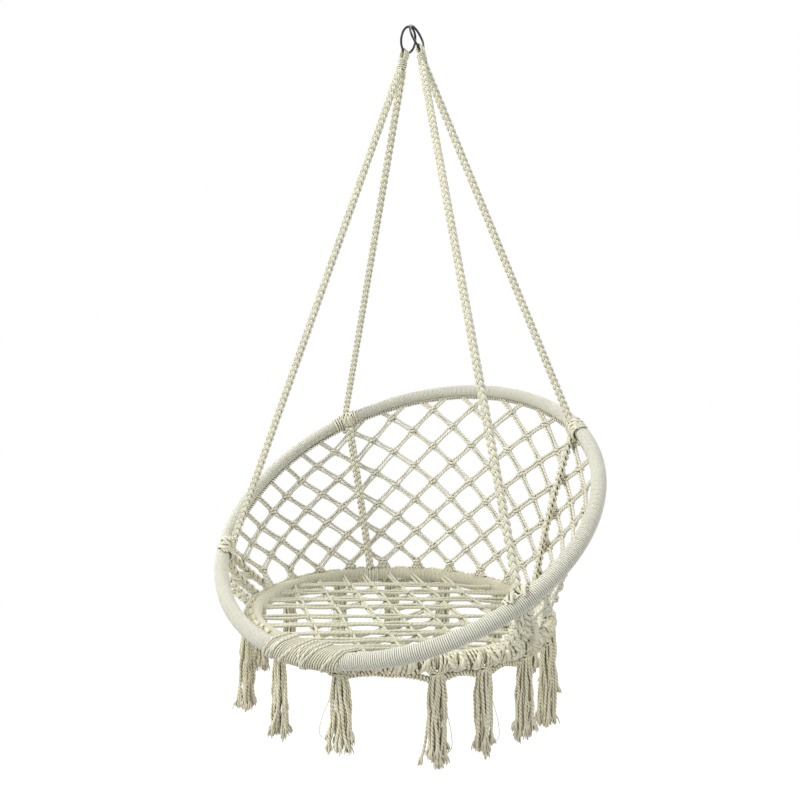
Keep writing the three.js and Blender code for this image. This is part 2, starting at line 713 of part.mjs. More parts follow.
// The tassel's own origin is its pivot, which lies a drop below the middle of the seat hoop,
// and its +X points away from the middle of the chair
function tasselGeometry(drop) {
  const headTop = drop - TASSEL_STRAP_LENGTH;
  const strap = new THREE.BoxGeometry(TASSEL_STRAP_THICKNESS, TASSEL_STRAP_WIDTH, -headTop + TASSEL_OVERLAP);
  strap.translate(0, 0, (headTop - TASSEL_OVERLAP) / 2);
  const head = loft(
    TASSEL_HEAD_SHARES.map(([down, wide]) => {
      const height = headTop - TASSEL_HEAD_HEIGHT * down;
      return levelRing(TASSEL_HEAD_WIDTH * wide, TASSEL_HEAD_DEPTH * wide, height, TASSEL_SIDES);
    }),
  );
  const neckTop = headTop - TASSEL_HEAD_HEIGHT + TASSEL_OVERLAP;
  const neckBottom = headTop - TASSEL_HEAD_HEIGHT - TASSEL_NECK_LENGTH;
  const neck = loft(
    [neckTop, neckBottom].map((height) =>
      levelRing(TASSEL_NECK_DIAMETER, TASSEL_NECK_DIAMETER, height, TASSEL_SIDES),
    ),
  );
  const strands = Array.from({ length: TASSEL_STRANDS }, (_, index) =>
    strand((TURN * index) / TASSEL_STRANDS, neckBottom + TASSEL_OVERLAP, drop - TASSEL_LENGTH),
  );
  return toGeometry(joined([strap, head, neck, ...strands]));
}

function addTassels() {
  const besideHoop = tasselGeometry(0);
  const underHoops = tasselGeometry(TASSEL_VALLEY_DROP);
  TASSEL_DEGREES.forEach((degrees, index) => {
    const angle = radians(degrees);
    const outward = seatHoop.outward(angle);
    const inValley = outward.y < -Math.cos(radians(TASSEL_VALLEY_DEGREES));
    const number = String(index + 1).padStart(2, "0");
    const tassel = addPiece(`tassel_${number}`, inValley ? underHoops : besideHoop, cordLook);
    const clear = inValley ? HOOP_GAP / 2 : TASSEL_STRAP_GAP + TASSEL_STRAP_THICKNESS / 2;
    const drop = inValley ? TASSEL_VALLEY_DROP : 0;
    tassel.position.copy(offset(seatHoop.wire(angle), [outward, wrapRadius + clear], [UP, -drop]));
    tassel.rotation.z = angle;
  });
}

addTassels();

export default chair;
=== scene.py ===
# Hammock chair: two cord-wound steel hoops, a knotted net between them, a knotted seat, four braided
# ropes on two steel rings, and a fringe of tassels, all in natural cotton cord.
import math

import bpy
import numpy as np
from mathutils import Matrix, Vector


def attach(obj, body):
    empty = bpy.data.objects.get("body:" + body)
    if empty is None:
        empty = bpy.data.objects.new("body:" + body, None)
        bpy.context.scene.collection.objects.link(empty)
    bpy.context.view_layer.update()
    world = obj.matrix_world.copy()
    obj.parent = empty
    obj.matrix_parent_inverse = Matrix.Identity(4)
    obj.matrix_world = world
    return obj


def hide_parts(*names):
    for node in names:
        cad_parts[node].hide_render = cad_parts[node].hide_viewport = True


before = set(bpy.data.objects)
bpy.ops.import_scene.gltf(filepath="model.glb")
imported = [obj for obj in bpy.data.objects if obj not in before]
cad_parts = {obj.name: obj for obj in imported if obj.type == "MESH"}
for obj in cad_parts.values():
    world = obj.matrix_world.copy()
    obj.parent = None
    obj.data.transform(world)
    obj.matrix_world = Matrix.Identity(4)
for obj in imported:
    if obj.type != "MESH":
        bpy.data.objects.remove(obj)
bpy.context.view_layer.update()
scene = bpy.context.scene
MM = 0.001
SIDES = (("left", -1), ("right", 1))

# Camera, lamps and floor
# The chair hangs at eye level and is seen level from the front right, with a slight roll. Large soft
# lamps stand above on the left and low on the right, over a pale floor that fades to white.
CAMERA_TURN = math.radians(32.60)
CAMERA_RISE = math.radians(-0.08)
CAMERA_ROLL = math.radians(1.10)
CAMERA_REACH = 1.4076
CAMERA_AIM = Vector((-0.0136, 0, -0.7535))
LENS_MM = 31.1
SENSOR_MM = 36
FLOOR_DEPTH = -1.70
FLOOR_WIDTH = 30
FLOOR_TONE = (0.62, 0.62, 0.61, 1)
FLOOR_SHADE = (0.3, 0.3, 0.3, 1)
FLOOR_GLOW = 0.84
FADE_START = 0.9
FADE_END = 2.4
AIR_WHITE = (1, 1, 1, 1)
AIR_TINT = (0.97, 0.985, 1, 1)
AIR_STRENGTH = 0.42
LAMP_AIM = Vector((0, 0, -0.9))
LAMPS = [
    ("key_lamp", (-2.2, -2.4, 1.5), 2.2, 122, (1.0, 0.985, 0.955)),
    ("fill_lamp", (2.9, -1.6, 0.2), 2.4, 21, (0.98, 0.99, 1.0)),
    ("top_lamp", (0.6, 1.8, 2.2), 2.2, 50, (1.0, 1.0, 0.99)),
]

level_reach = math.cos(CAMERA_RISE)
camera_front = (math.sin(CAMERA_TURN) * level_reach, -math.cos(CAMERA_TURN) * level_reach)
toward_camera = Vector((*camera_front, math.sin(CAMERA_RISE)))
level_right = Vector((math.cos(CAMERA_TURN), math.sin(CAMERA_TURN), 0))
level_up = level_right.cross(-toward_camera)
camera_right = level_right * math.cos(CAMERA_ROLL) + level_up * math.sin(CAMERA_ROLL)
camera_up = level_up * math.cos(CAMERA_ROLL) - level_right * math.sin(CAMERA_ROLL)
camera = bpy.data.objects.new("camera", bpy.data.cameras.new("camera"))
camera.data.lens = LENS_MM
camera.data.sensor_width = SENSOR_MM
turned = Matrix((camera_right, camera_up, toward_camera)).transposed().to_4x4()
camera.matrix_world = Matrix.Translation(CAMERA_AIM + toward_camera * CAMERA_REACH) @ turned
scene.collection.objects.link(camera)
scene.camera = camera
scene.view_settings.view_transform = "Standard"

for lamp_name, place, size, power, tint in LAMPS:
    lamp = bpy.data.lights.new(lamp_name, "AREA")
    lamp.shape = "DISK"
    lamp.size = size
    lamp.energy = power
    lamp.color = tint
    holder = bpy.data.objects.new(lamp_name, lamp)
    holder.location = place
    holder.rotation_euler = (LAMP_AIM - Vector(place)).to_track_quat("-Z", "Y").to_euler()
    scene.collection.objects.link(holder)


def add_node(tree, kind, inputs=None, **settings):
    """A node with its settings made, and its inputs given values or linked to other nodes' outputs."""
    node = tree.nodes.new(kind)
    for setting, value in settings.items():
        setattr(node, setting, value)
    for label, value in (inputs or {}).items():
        if isinstance(value, bpy.types.NodeSocket):
            tree.links.new(value, node.inputs[label])
        elif value is not None:
            node.inputs[label].default_value = value
    return node


def maths(tree, operation, first, second=None):
    return add_node(tree, "ShaderNodeMath", {0: first, 1: second}, operation=operation).outputs[0]


def ranged(tree, value, low=0, high=1, to_low=0, to_high=1, kind="LINEAR"):
    """A value moved from one range to another, and held inside it."""
    ends = {"Value": value, "From Min": low, "From Max": high, "To Min": to_low, "To Max": to_high}
    return add_node(tree, "ShaderNodeMapRange", ends, interpolation_type=kind).outputs[0]


def new_finish(name):
    """A new material, and its empty node tree."""
    finish = bpy.data.materials.new(name)
    finish.use_nodes = True
    finish.node_tree.nodes.clear()
    return finish, finish.node_tree


def sees_background(tree):
    """One for rays that see the background directly, in a reflection or through glass."""
    path = add_node(tree, "ShaderNodeLightPath").outputs
    either = maths(tree, "MAXIMUM", path["Is Camera Ray"], path["Is Glossy Ray"])
    return maths(tree, "MAXIMUM", either, path["Is Transmission Ray"])


def seen_or_felt(tree, seen, felt):
    """One shader for rays that see the background, and another for the light that it casts."""
    shaders = {0: sees_background(tree), 1: felt.outputs[0], 2: seen.outputs[0]}
    return add_node(tree, "ShaderNodeMixShader", shaders).outputs[0]


world = bpy.data.worlds.new("studio")
scene.world = world
world.use_nodes = True
air = world.node_tree
air.nodes.clear()
seen = add_node(air, "ShaderNodeBackground", {"Color": AIR_WHITE, "Strength": 1.0})
felt = add_node(air, "ShaderNodeBackground", {"Color": AIR_TINT, "Strength": AIR_STRENGTH})
add_node(air, "ShaderNodeOutputWorld", {"Surface": seen_or_felt(air, seen, felt)})

floor_mesh = bpy.data.meshes.new("floor")
half_floor = FLOOR_WIDTH / 2
floor_sides = ((-1, -1), (1, -1), (1, 1), (-1, 1))
floor_corners = [(x * half_floor, y * half_floor, FLOOR_DEPTH) for x, y in floor_sides]
floor_mesh.from_pydata(floor_corners, [], [(0, 1, 2, 3)])
floor = bpy.data.objects.new("floor", floor_mesh)
scene.collection.objects.link(floor)
floor_finish, ground = new_finish("pale_floor")
felt = add_node(ground, "ShaderNodeBsdfDiffuse", {"Color": FLOOR_TONE})
shaded = add_node(ground, "ShaderNodeBsdfDiffuse", {"Color": FLOOR_SHADE})
glow = add_node(ground, "ShaderNodeEmission", {"Strength": FLOOR_GLOW})
near = add_node(ground, "ShaderNodeAddShader", {0: shaded.outputs[0], 1: glow.outputs[0]})
spot = add_node(ground, "ShaderNodeTexCoord").outputs["Object"]
flat = add_node(ground, "ShaderNodeVectorMath", {0: spot, 1: (1, 1, 0)}, operation="MULTIPLY")
away = add_node(ground, "ShaderNodeVectorMath", {0: flat.outputs[0]}, operation="LENGTH").outputs["Value"]
fade = ranged(ground, away, FADE_START, FADE_END, kind="SMOOTHSTEP")
far = add_node(ground, "ShaderNodeEmission")
seen = add_node(ground, "ShaderNodeMixShader", {0: fade, 1: near.outputs[0], 2: far.outputs[0]})
add_node(ground, "ShaderNodeOutputMaterial", {"Surface": seen_or_felt(ground, seen, felt)})
floor_mesh.materials.append(floor_finish)

# Hanging ropes
# Each rope is a flat three-strand braid of doubled cotton cord, about 15 mm wide, that is pulled
# straight between a steel ring and the tilted hoop. The cord is three-ply and loosely twisted.
RING_SPLAY = math.radians(18.6)
RING_RADIUS = 23.95
RING_WIRE = 4.6
RING_SPACING = 5.2
ROPE_START_DROP = 34.3
ROPE_START_SHIFT = 5
ROPE_START_LEAN = 8
ROPE_END_SHIFTS = {
    "rope_back_left": -9,
    "rope_back_right": -11,
    "rope_front_left": 19,
    "rope_front_right": -6,
}
BRAID_REACH = 4.8
BRAID_RISE = 2.7
BRAID_PERIOD = 37
BRAID_CORD = 4.7
BRAID_PITCH = 26
BRAID_TWIN = 0.36
BRAID_STEPS = 14
CURVE_STEPS = 24
BRAID_FACES = {-1: (1, 0.15, 0), 1: (0.97, -0.2, 0)}
HOOP_TUBE_RADIUS = 14
BACK_RADIUS = 386
BACK_TILT = math.radians(35.32)
BACK_CENTRE = (0, -7, -950.2)
BACK_KNOT_TURN = math.radians(49.7)
FRONT_KNOT_TURN = math.radians(58.9)
CORD_LIGHT = (0.93, 0.91, 0.75, 1)
# Painted shade for the braided cord's ply grooves and creases.
CORD_PAINTED_SHADE = (0.22, 0.19, 0.09, 1)
CREASE_SHADE_DISTANCE = 5 * MM
HOOP_BACK = math.pi / 2
HOOP_FRONT = 1.5 * math.pi
SEAM_GAP = 0.25


def unit(rows):
    rows = np.asarray(rows, float)
    return rows / np.linalg.norm(rows, axis=-1, keepdims=True)


class Hoop:
    """A hoop's circle, in the middle of its tube. Angles run from +X, and the back is a quarter turn."""

    def __init__(self, radius, centre, tilt):
        self.radius = radius
        self.centre = np.array(centre, float)
        self.back = np.array((0, math.cos(tilt), math.sin(tilt)))
        self.facing = np.array((0, -math.sin(tilt), math.cos(tilt)))

    def outward(self, angle):
        angle = np.asarray(angle, float)[..., None]
        return np.cos(angle) * np.array((1.0, 0, 0)) + np.sin(angle) * self.back

    def at(self, angle, reach=0.0, lift=0.0):
        reach = np.asarray(reach, float)[..., None]
        lift = np.asarray(lift, float)[..., None]
        return self.centre + (self.radius + reach) * self.outward(angle) + lift * self.facing


def smooth_path(points, count):
    """Evenly spaced points on one smooth curve through the given points."""
    points = np.array(points, float)
    steps = np.sqrt(np.linalg.norm(np.diff(points, axis=0), axis=1))
    knots = np.concatenate([[0], np.cumsum(steps)])
    slopes = np.gradient(points, knots, axis=0)
    fine = np.linspace(0, knots[-1], CURVE_STEPS * len(points))
    piece = np.clip(np.searchsorted(knots, fine, "right") - 1, 0, len(points) - 2)
    width = (knots[piece + 1] - knots[piece])[:, None]
    t = (fine - knots[piece])[:, None] / width
    near, far = points[piece], points[piece + 1]
    leave, arrive = slopes[piece] * width, slopes[piece + 1] * width
    curve = (2 * t**3 - 3 * t**2 + 1) * near + (t**3 - 2 * t**2 + t) * leave
    curve = curve + (3 * t**2 - 2 * t**3) * far + (t**3 - t**2) * arrive
    run = np.concatenate([[0], np.cumsum(np.linalg.norm(np.diff(curve, axis=0), axis=1))])
    even = np.linspace(0, run[-1], count)
    return np.stack([np.interp(even, run, curve[:, axis]) for axis in range(3)], 1)


def run_of(path):
    return np.concatenate([[0], np.cumsum(np.linalg.norm(np.diff(path, axis=0), axis=1))])


def spread_over(values, count):
    """A few values spread evenly over a number of places."""
    return np.interp(np.linspace(0, 1, count), np.linspace(0, 1, len(values)), values)


def drift(rng, size, bends, count):
    """A smooth random wander over a number of places."""
    return spread_over(rng.uniform(-size, size, bends), count)


def rails(path, hint):
    """Along, sideways and face directions at each point of a path."""
    along = unit(np.gradient(path, axis=0))
    hint = np.broadcast_to(np.asarray(hint, float), along.shape)
    side = unit(hint - np.sum(hint * along, axis=1, keepdims=True) * along)
    return along, side, np.cross(along, side)


def braid(path, hint, reach, rise, period, cord):
    """The lines of the cords in a flat braid of three doubled strands along a path."""
    along, side, face = rails(path, hint)
    run = run_of(path)
    lines = []
    for strand in range(3):
        turn = 2 * math.pi * (run / period + strand / 3)
        lean = np.arctan(reach * 2 * math.pi / period * np.cos(turn))
        for twin in (-BRAID_TWIN, BRAID_TWIN):
            across = reach * np.sin(turn) + twin * cord * np.cos(lean)
            back = -twin * cord * np.sin(lean)
            lift = rise * np.sin(2 * turn)
            points = path + across[:, None] * side + lift[:, None] * face + back[:, None] * along
            lines.append((points, cord, False))
    return lines


def kept_values(tree, geometry, values):
    """Values of a curve's points that can still be read after the curve is swept."""
    keep = add_node(tree, "GeometryNodeCaptureAttribute", {"Geometry": geometry}, domain="POINT")
    for label in values:
        keep.capture_items.new("FLOAT", label)
    for label, value in values.items():
        tree.links.new(value, keep.inputs[label])
    return keep.outputs


def cord_tree():
    """Turns each line into a twisted cord. Its UV map runs round the cord, and along it in metres."""
    tree = bpy.data.node_groups.new("cord_along_lines", "GeometryNodeTree")
    for label, kind in (
        ("Lines", "Geometry"),
        ("Sides", "Int"),
        ("Plies", "Int"),
        ("Twist pitch", "Float"),
        ("Ply depth", "Float"),
        ("Finish", "Material"),
    ):
        tree.interface.new_socket(label, in_out="INPUT", socket_type="NodeSocket" + kind)
    tree.interface.new_socket("Cord", in_out="OUTPUT", socket_type="NodeSocketGeometry")
    given = add_node(tree, "NodeGroupInput").outputs
    run = add_node(tree, "GeometryNodeSplineParameter").outputs
    size = add_node(tree, "GeometryNodeInputRadius").outputs[0]
    line = kept_values(tree, given["Lines"], {"Along": run["Length"], "Radius": size})
    circle = {"Radius": 1.0, "Resolution": given["Sides"]}
    ring = add_node(tree, "GeometryNodeCurvePrimitiveCircle", circle, mode="RADIUS").outputs["Curve"]
    ring = kept_values(tree, ring, {"Round": run["Factor"]})
    along, radius, around = line["Along"], line["Radius"], ring["Round"]
    swept = {
        "Curve": line["Geometry"],
        "Profile Curve": ring["Geometry"],
        "Scale": radius,
        "Fill Caps": True,
    }
    sweep = add_node(tree, "GeometryNodeCurveToMesh", swept)
    turned = maths(tree, "ADD", around, maths(tree, "DIVIDE", along, given["Twist pitch"]))
    turn = maths(tree, "MULTIPLY", turned, 2 * math.pi)
    ridge = maths(tree, "SUBTRACT", maths(tree, "COSINE", maths(tree, "MULTIPLY", turn, given["Plies"])), 1)
    half_depth = maths(tree, "MULTIPLY", given["Ply depth"], 0.5)
    depth = maths(tree, "MULTIPLY", maths(tree, "MULTIPLY", ridge, radius), half_depth)
    normal = add_node(tree, "GeometryNodeInputNormal").outputs[0]
    inward = add_node(tree, "ShaderNodeVectorMath", {0: normal, "Scale": depth}, operation="SCALE").outputs[0]
    plied = add_node(tree, "GeometryNodeSetPosition", {"Geometry": sweep.outputs[0], "Offset": inward})
    middle = add_node(tree, "GeometryNodeFieldOnDomain", {0: around}, domain="FACE", data_type="FLOAT")
    wrapped = maths(tree, "GREATER_THAN", maths(tree, "SUBTRACT", middle.outputs[0], around), SEAM_GAP)
    place = add_node(tree, "ShaderNodeCombineXYZ", {"X": maths(tree, "ADD", around, wrapped), "Y": along})
    stored = {"Name": "UVMap", "Geometry": plied.outputs[0], "Value": place.outputs[0]}
    store = add_node(tree, "GeometryNodeStoreNamedAttribute", stored, data_type="FLOAT2", domain="CORNER")
    smooth = add_node(tree, "GeometryNodeSetShadeSmooth", {"Geometry": store.outputs[0]})
    whole = add_node(tree, "GeometryNodeRealizeInstances", {"Geometry": smooth.outputs[0]})
    dressed = {"Geometry": whole.outputs[0], "Material": given["Finish"]}
    finish = add_node(tree, "GeometryNodeSetMaterial", dressed)
    add_node(tree, "NodeGroupOutput", {"Cord": finish.outputs[0]})
    return tree


CORD_TREE = cord_tree()


def plain_mesh(name, source, tree, values):
    """The mesh that a node tree makes from a source object, as a new plain object."""
    scene.collection.objects.link(source)
    modifier = source.modifiers.new("maker", "NODES")
    modifier.node_group = tree
    for item in tree.interface.items_tree:
        if item.item_type == "SOCKET" and item.in_out == "INPUT" and item.name in values:
            modifier[item.identifier] = values[item.name]
    bpy.context.view_layer.update()
    evaluated = source.evaluated_get(bpy.context.evaluated_depsgraph_get())
    mesh = bpy.data.meshes.new_from_object(evaluated)
    mesh.name = name
    bpy.data.objects.remove(source)
    piece = bpy.data.objects.new(name, mesh)
    scene.collection.objects.link(piece)
    return piece


def make_cords(name, lines, finish, pitch=9.0, sides=6, plies=2, depth=0.0):
    """Twisted cords along lines: for each its points, its diameter or diameters, and if it closes."""
    curve = bpy.data.curves.new(name, "CURVE")
    curve.dimensions = "3D"
    for points, diameter, closed in lines:
        spline = curve.splines.new("POLY")
        spline.points.add(len(points) - 1)
        places = np.ones((len(points), 4))
        places[:, :3] = np.asarray(points) * MM
        spline.points.foreach_set("co", places.ravel())
        spline.points.foreach_set("radius", np.full(len(points), 1.0) * diameter / 2 * MM)
        spline.use_cyclic_u = closed
    values = {"Sides": sides, "Plies": plies, "Twist pitch": pitch * MM}
    values |= {"Ply depth": depth, "Finish": finish}
    return plain_mesh(name, bpy.data.objects.new(name + "_lines", curve), CORD_TREE, values)


def finish_piece(piece, body, node):
    """Fixes a piece to a body, in place of a node of the CAD model where one is named."""
    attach(piece, body)
    if node:
        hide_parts(node)


FIBRE_ROUND = 1.6
FIBRE_SCALE = 90
FIBRE_DETAIL = 3.0
FIBRE_HEIGHT = 0.35
CREST_POWER = 0.6
CREST_TOP = 0.75
CREASE_SHADE_RANGE = (0.14, 0.68)
BLOTCH_SCALE = 28
SPECKLE_RANGE = (0.6, 1.4)


def twist_group():
    """Masks for a twisted cord on its own UV map: each ply's crest, and fine fibres along the twist."""
    group = bpy.data.node_groups.new("twisted_cord", "ShaderNodeTree")
    for label in ("Plies", "Twist pitch", "Fibre scale"):
        group.interface.new_socket(label, in_out="INPUT", socket_type="NodeSocketFloat")
    for label in ("Crest", "Fibre", "Height"):
        group.interface.new_socket(label, in_out="OUTPUT", socket_type="NodeSocketFloat")
    given = add_node(group, "NodeGroupInput").outputs
    place = add_node(group, "ShaderNodeUVMap", uv_map="UVMap").outputs[0]
    spot = add_node(group, "ShaderNodeSeparateXYZ", {0: place}).outputs
    turned = maths(group, "ADD", spot["X"], maths(group, "DIVIDE", spot["Y"], given["Twist pitch"]))
    turn = maths(group, "MULTIPLY", turned, 2 * math.pi)
    wave = maths(group, "COSINE", maths(group, "MULTIPLY", turn, given["Plies"]))
    crest = maths(group, "MULTIPLY", maths(group, "ADD", wave, 1), 0.5)
    crest = maths(group, "POWER", crest, CREST_POWER)
    rolled = {
        "X": maths(group, "MULTIPLY", maths(group, "COSINE", turn), FIBRE_ROUND),
        "Y": maths(group, "MULTIPLY", maths(group, "SINE", turn), FIBRE_ROUND),
        "Z": maths(group, "MULTIPLY", spot["Y"], given["Fibre scale"]),
    }
    rolled = add_node(group, "ShaderNodeCombineXYZ", rolled).outputs[0]
    noise = {"Vector": rolled, "Scale": FIBRE_DETAIL, "Detail": FIBRE_DETAIL}
    fibre = add_node(group, "ShaderNodeTexNoise", noise, noise_dimensions="3D").outputs[0]
    height = maths(group, "ADD", crest, maths(group, "MULTIPLY", fibre, FIBRE_HEIGHT))
    add_node(group, "NodeGroupOutput", {"Crest": crest, "Fibre": fibre, "Height": height})
    return group


TWIST_GROUP = twist_group()


def cord_finish(name, light, painted_shade, plies, pitch, groove_shade_level=0.55, patch=0.10):
    """Matt cotton cord: pale crests, painted shade in the ply grooves and creases, fine fibres and faint
    blotches.
    """
    finish, tree = new_finish(name)
    twisted = {"Plies": plies, "Twist pitch": pitch * MM, "Fibre scale": FIBRE_SCALE}
    twist = add_node(tree, "ShaderNodeGroup", twisted, node_tree=TWIST_GROUP).outputs
    # Painted shade: the ply grooves, and the creases that the occlusion node finds, are darkened towards the
    # shade colour.
    painted_groove_shade = ranged(tree, twist["Crest"], 0, CREST_TOP, groove_shade_level)
    crease_occlusion = add_node(tree, "ShaderNodeAmbientOcclusion", {"Distance": CREASE_SHADE_DISTANCE}, samples=6)
    painted_crease_shade = ranged(tree, crease_occlusion.outputs["AO"], *CREASE_SHADE_RANGE)
    tints = {"A": painted_shade, "B": light, "Factor": maths(tree, "MULTIPLY", painted_groove_shade, painted_crease_shade)}
    body = add_node(tree, "ShaderNodeMix", tints, data_type="RGBA").outputs["Result"]
    where = add_node(tree, "ShaderNodeTexCoord").outputs["Object"]
    blotch = add_node(tree, "ShaderNodeTexNoise", {"Vector": where, "Scale": BLOTCH_SCALE, "Detail": 2})
    speckle = maths(tree, "ADD", blotch.outputs[0], twist["Fibre"])
    tone = ranged(tree, speckle, *SPECKLE_RANGE, 1 - patch, 1 + patch / 2)
    toned = add_node(tree, "ShaderNodeVectorMath", {0: body, "Scale": tone}, operation="SCALE")
    raised = {"Strength": 0.7, "Distance": 0.35 * MM, "Height": twist["Height"]}
    surface = {
        "Base Color": toned.outputs[0],
        "Normal": add_node(tree, "ShaderNodeBump", raised).outputs[0],
        "Roughness": 0.88,
        "Sheen Weight": 0.12,
        "Sheen Roughness": 0.5,
        "Specular IOR Level": 0.2,
    }
    shader = add_node(tree, "ShaderNodeBsdfPrincipled", surface)
    add_node(tree, "ShaderNodeOutputMaterial", {"Surface": shader.outputs[0]})
    return finish


BRAID_FINISH = cord_finish("braided_cotton", CORD_LIGHT, CORD_PAINTED_SHADE, 2, BRAID_PITCH, 0.8)
back_hoop = Hoop(BACK_RADIUS, BACK_CENTRE, BACK_TILT)


def ring_place(side, down):
    across = RING_SPACING / 2 + math.sin(RING_SPLAY) * down
    return np.array((side * across, 0, RING_WIRE / 2 - math.cos(RING_SPLAY) * down))


def back_knot_angle(side):
    return HOOP_BACK - side * BACK_KNOT_TURN


def front_knot_angle(side):
    return HOOP_BACK - side * (math.pi - FRONT_KNOT_TURN)


def add_hanging_rope(name, side, turned_back, angle):
    foot = ring_place(side, 2 * RING_RADIUS)
    start = foot + (side * ROPE_START_LEAN, turned_back * ROPE_START_SHIFT, -ROPE_START_DROP)
    knot = back_hoop.at(angle) + (ROPE_END_SHIFTS[name], 0, 0)
    length = np.linalg.norm(knot - start)
    share = np.linspace(0, 1 - HOOP_TUBE_RADIUS / length, int(length / BRAID_PERIOD * BRAID_STEPS))
    path = start + share[:, None] * (knot - start)
    lines = braid(path, BRAID_FACES[side], BRAID_REACH, BRAID_RISE, BRAID_PERIOD, BRAID_CORD)
    rope = make_cords(f"{name}_braid", lines, BRAID_FINISH, BRAID_PITCH)
    finish_piece(rope, "chair", name)


for side_name, side in SIDES:
    add_hanging_rope(f"rope_back_{side_name}", side, 1, back_knot_angle(side))
    add_hanging_rope(f"rope_front_{side_name}", side, -1, front_knot_angle(side))

# Steel rings
# Two rings of round dark steel wire hang side by side on a hook. Each is bent to a circle, and its
# ends are closed by a weld that leaves the wire a little thicker there.
RING_STEPS = 96
RING_SIDES = 16
WELD_SWELL = 0.5
WELD_SHARE = 0.36
STEEL_GRAIN = 90
STEEL_RUBBED = (0.55, 0.75)
STEEL_ROUGH = (0.32, 0.5)


def steel_finish(name, dark, worn):
    """Dark steel with a fine grain and a few brighter rubbed patches."""
    finish, tree = new_finish(name)
    where = add_node(tree, "ShaderNodeTexCoord").outputs["Object"]
    grain = {"Vector": where, "Scale": STEEL_GRAIN, "Detail": 4}
    grain = add_node(tree, "ShaderNodeTexNoise", grain).outputs[0]
    tints = {"A": dark, "B": worn, "Factor": ranged(tree, grain, *STEEL_RUBBED)}
    tint = add_node(tree, "ShaderNodeMix", tints, data_type="RGBA").outputs["Result"]
    rough = ranged(tree, grain, 0, 1, *STEEL_ROUGH)
    surface = {"Metallic": 0.85, "Base Color": tint, "Roughness": rough}
    shader = add_node(tree, "ShaderNodeBsdfPrincipled", surface)
    add_node(tree, "ShaderNodeOutputMaterial", {"Surface": shader.outputs[0]})
    return finish


RING_FINISH = steel_finish("dark_ring_steel", (0.05, 0.052, 0.058, 1), (0.16, 0.16, 0.17, 1))


def add_ring(name, side):
    turn = np.linspace(0, 2 * math.pi, RING_STEPS, endpoint=False)[:, None]
    down = np.array((side * math.sin(RING_SPLAY), 0, -math.cos(RING_SPLAY)))
    across = np.array((0, 1, 0))
    middle = ring_place(side, RING_RADIUS)
    points = middle + RING_RADIUS * (np.cos(turn) * down + np.sin(turn) * across)
    from_weld = (turn[:, 0] / (2 * math.pi) - WELD_SHARE) * RING_STEPS / 2
    diameters = RING_WIRE + WELD_SWELL * np.exp(-(from_weld**2))
    ring = make_cords(f"{name}_wire", [(points, diameters, True)], RING_FINISH, sides=RING_SIDES)
    finish_piece(ring, "rings", name)


for side_name, side in SIDES:
    add_ring(f"hanging_ring_{side_name}", side)

# Rope heads
# The cotton cords of one back and one front rope are folded over each ring. A few tight turns of the
# same cord bind them together under it.
HEAD_DROP = 34
HEAD_LOOP = 4.1
HEAD_CORD = 3.6
HEAD_LEAN = 8
HEAD_PLACES = (-6.6, -3.3, 0, 3.3, 6.6)
HEAD_BELLY = 6
BINDING_TOP = -16
BINDING_PITCH = 4.1
BINDING_WIDE = 8
BINDING_DEEP = 7.8
BINDING_ROUGH = 0.4
HEAD_NARROWING = 0.8
HEAD_STEPS = 40
BEND_STEPS = 15


def coil(core, hint, wide, deep, pitch, phase=0.0, steps=12, rough=0.0, seed=1):
    """A cord wound round a core. Its half widths along the hint and across it may change along the core."""
    run = run_of(core)
    count = int(run[-1] / pitch * steps) + 2
    even = np.linspace(0, run[-1], count)
    middle = np.stack([np.interp(even, run, core[:, axis]) for axis in range(3)], 1)
    along, side, face = rails(middle, hint)
    stray = drift(np.random.default_rng(seed), rough, count // steps * 2 + 4, count)
    wide = spread_over(np.atleast_1d(wide), count) + stray
    deep = spread_over(np.atleast_1d(deep), count) + stray
    turn = phase + 2 * math.pi * even / pitch
    return middle + (wide * np.cos(turn))[:, None] * side + (deep * np.sin(turn))[:, None] * face


def add_rope_head(name, side):
    foot = ring_place(side, 2 * RING_RADIUS)
    lines = []
    for across in HEAD_PLACES:
        bend = np.linspace(math.pi, 0, BEND_STEPS)
        over = np.stack([HEAD_LOOP * np.cos(bend), 0 * bend + across, HEAD_LOOP * np.sin(bend)], 1)
        near = across * HEAD_NARROWING
        down = [
            (HEAD_LOOP, near, -HEAD_DROP),
            (HEAD_LOOP, near, BINDING_TOP),
            (HEAD_BELLY, across, BINDING_TOP / 2),
        ]
        left = [(-x, y, z) for x, y, z in down]
        fold = smooth_path(np.concatenate([left, over, down[::-1]]), HEAD_STEPS)
        fold[:, 0] += side * HEAD_LEAN * np.clip(-fold[:, 2] / HEAD_DROP, 0, 1)
        lines.append((foot + fold, HEAD_CORD, False))
    leaning = side * HEAD_LEAN
    core = foot + np.array([(leaning * BINDING_TOP / -HEAD_DROP, 0, BINDING_TOP), (leaning, 0, -HEAD_DROP)])
    turns = (BINDING_WIDE, BINDING_DEEP, BINDING_PITCH)
    lines.append((coil(core, (1, 0, 0), *turns, steps=20, rough=BINDING_ROUGH, seed=7), HEAD_CORD, False))
    head = make_cords(f"{name}_cords", lines, BRAID_FINISH, BRAID_PITCH)
    finish_piece(head, "chair", name)


for side_name, side in SIDES:
    add_rope_head(f"rope_head_{side_name}", side)

# Back hoop
# A steel tube bent to a hoop, which leans back and carries the net. It is hidden under one long thin
# cotton cord, wound round it turn against turn.
WINDING_CORD = 3.15
WINDING_REACH = 12.45
WINDING_PITCH = 3.5
WINDING_ROUGH = 0.14
WINDING_TWIST = 5
WINDING_STEPS = 14
HOOP_STEPS = 721
# Painted shade for the hoop windings' ply grooves and creases.
HOOP_PAINTED_SHADE = (0.40, 0.37, 0.22, 1)
BACK_HOOP_LIGHT = (0.92, 0.915, 0.81, 1)
BACK_HOOP_FINISH = cord_finish("wound_cotton", BACK_HOOP_LIGHT, HOOP_PAINTED_SHADE, 2, WINDING_TWIST, 0.8, 0.06)
TUBE_FINISH = steel_finish("hoop_tube_steel", (0.12, 0.115, 0.09, 1), (0.2, 0.19, 0.16, 1))


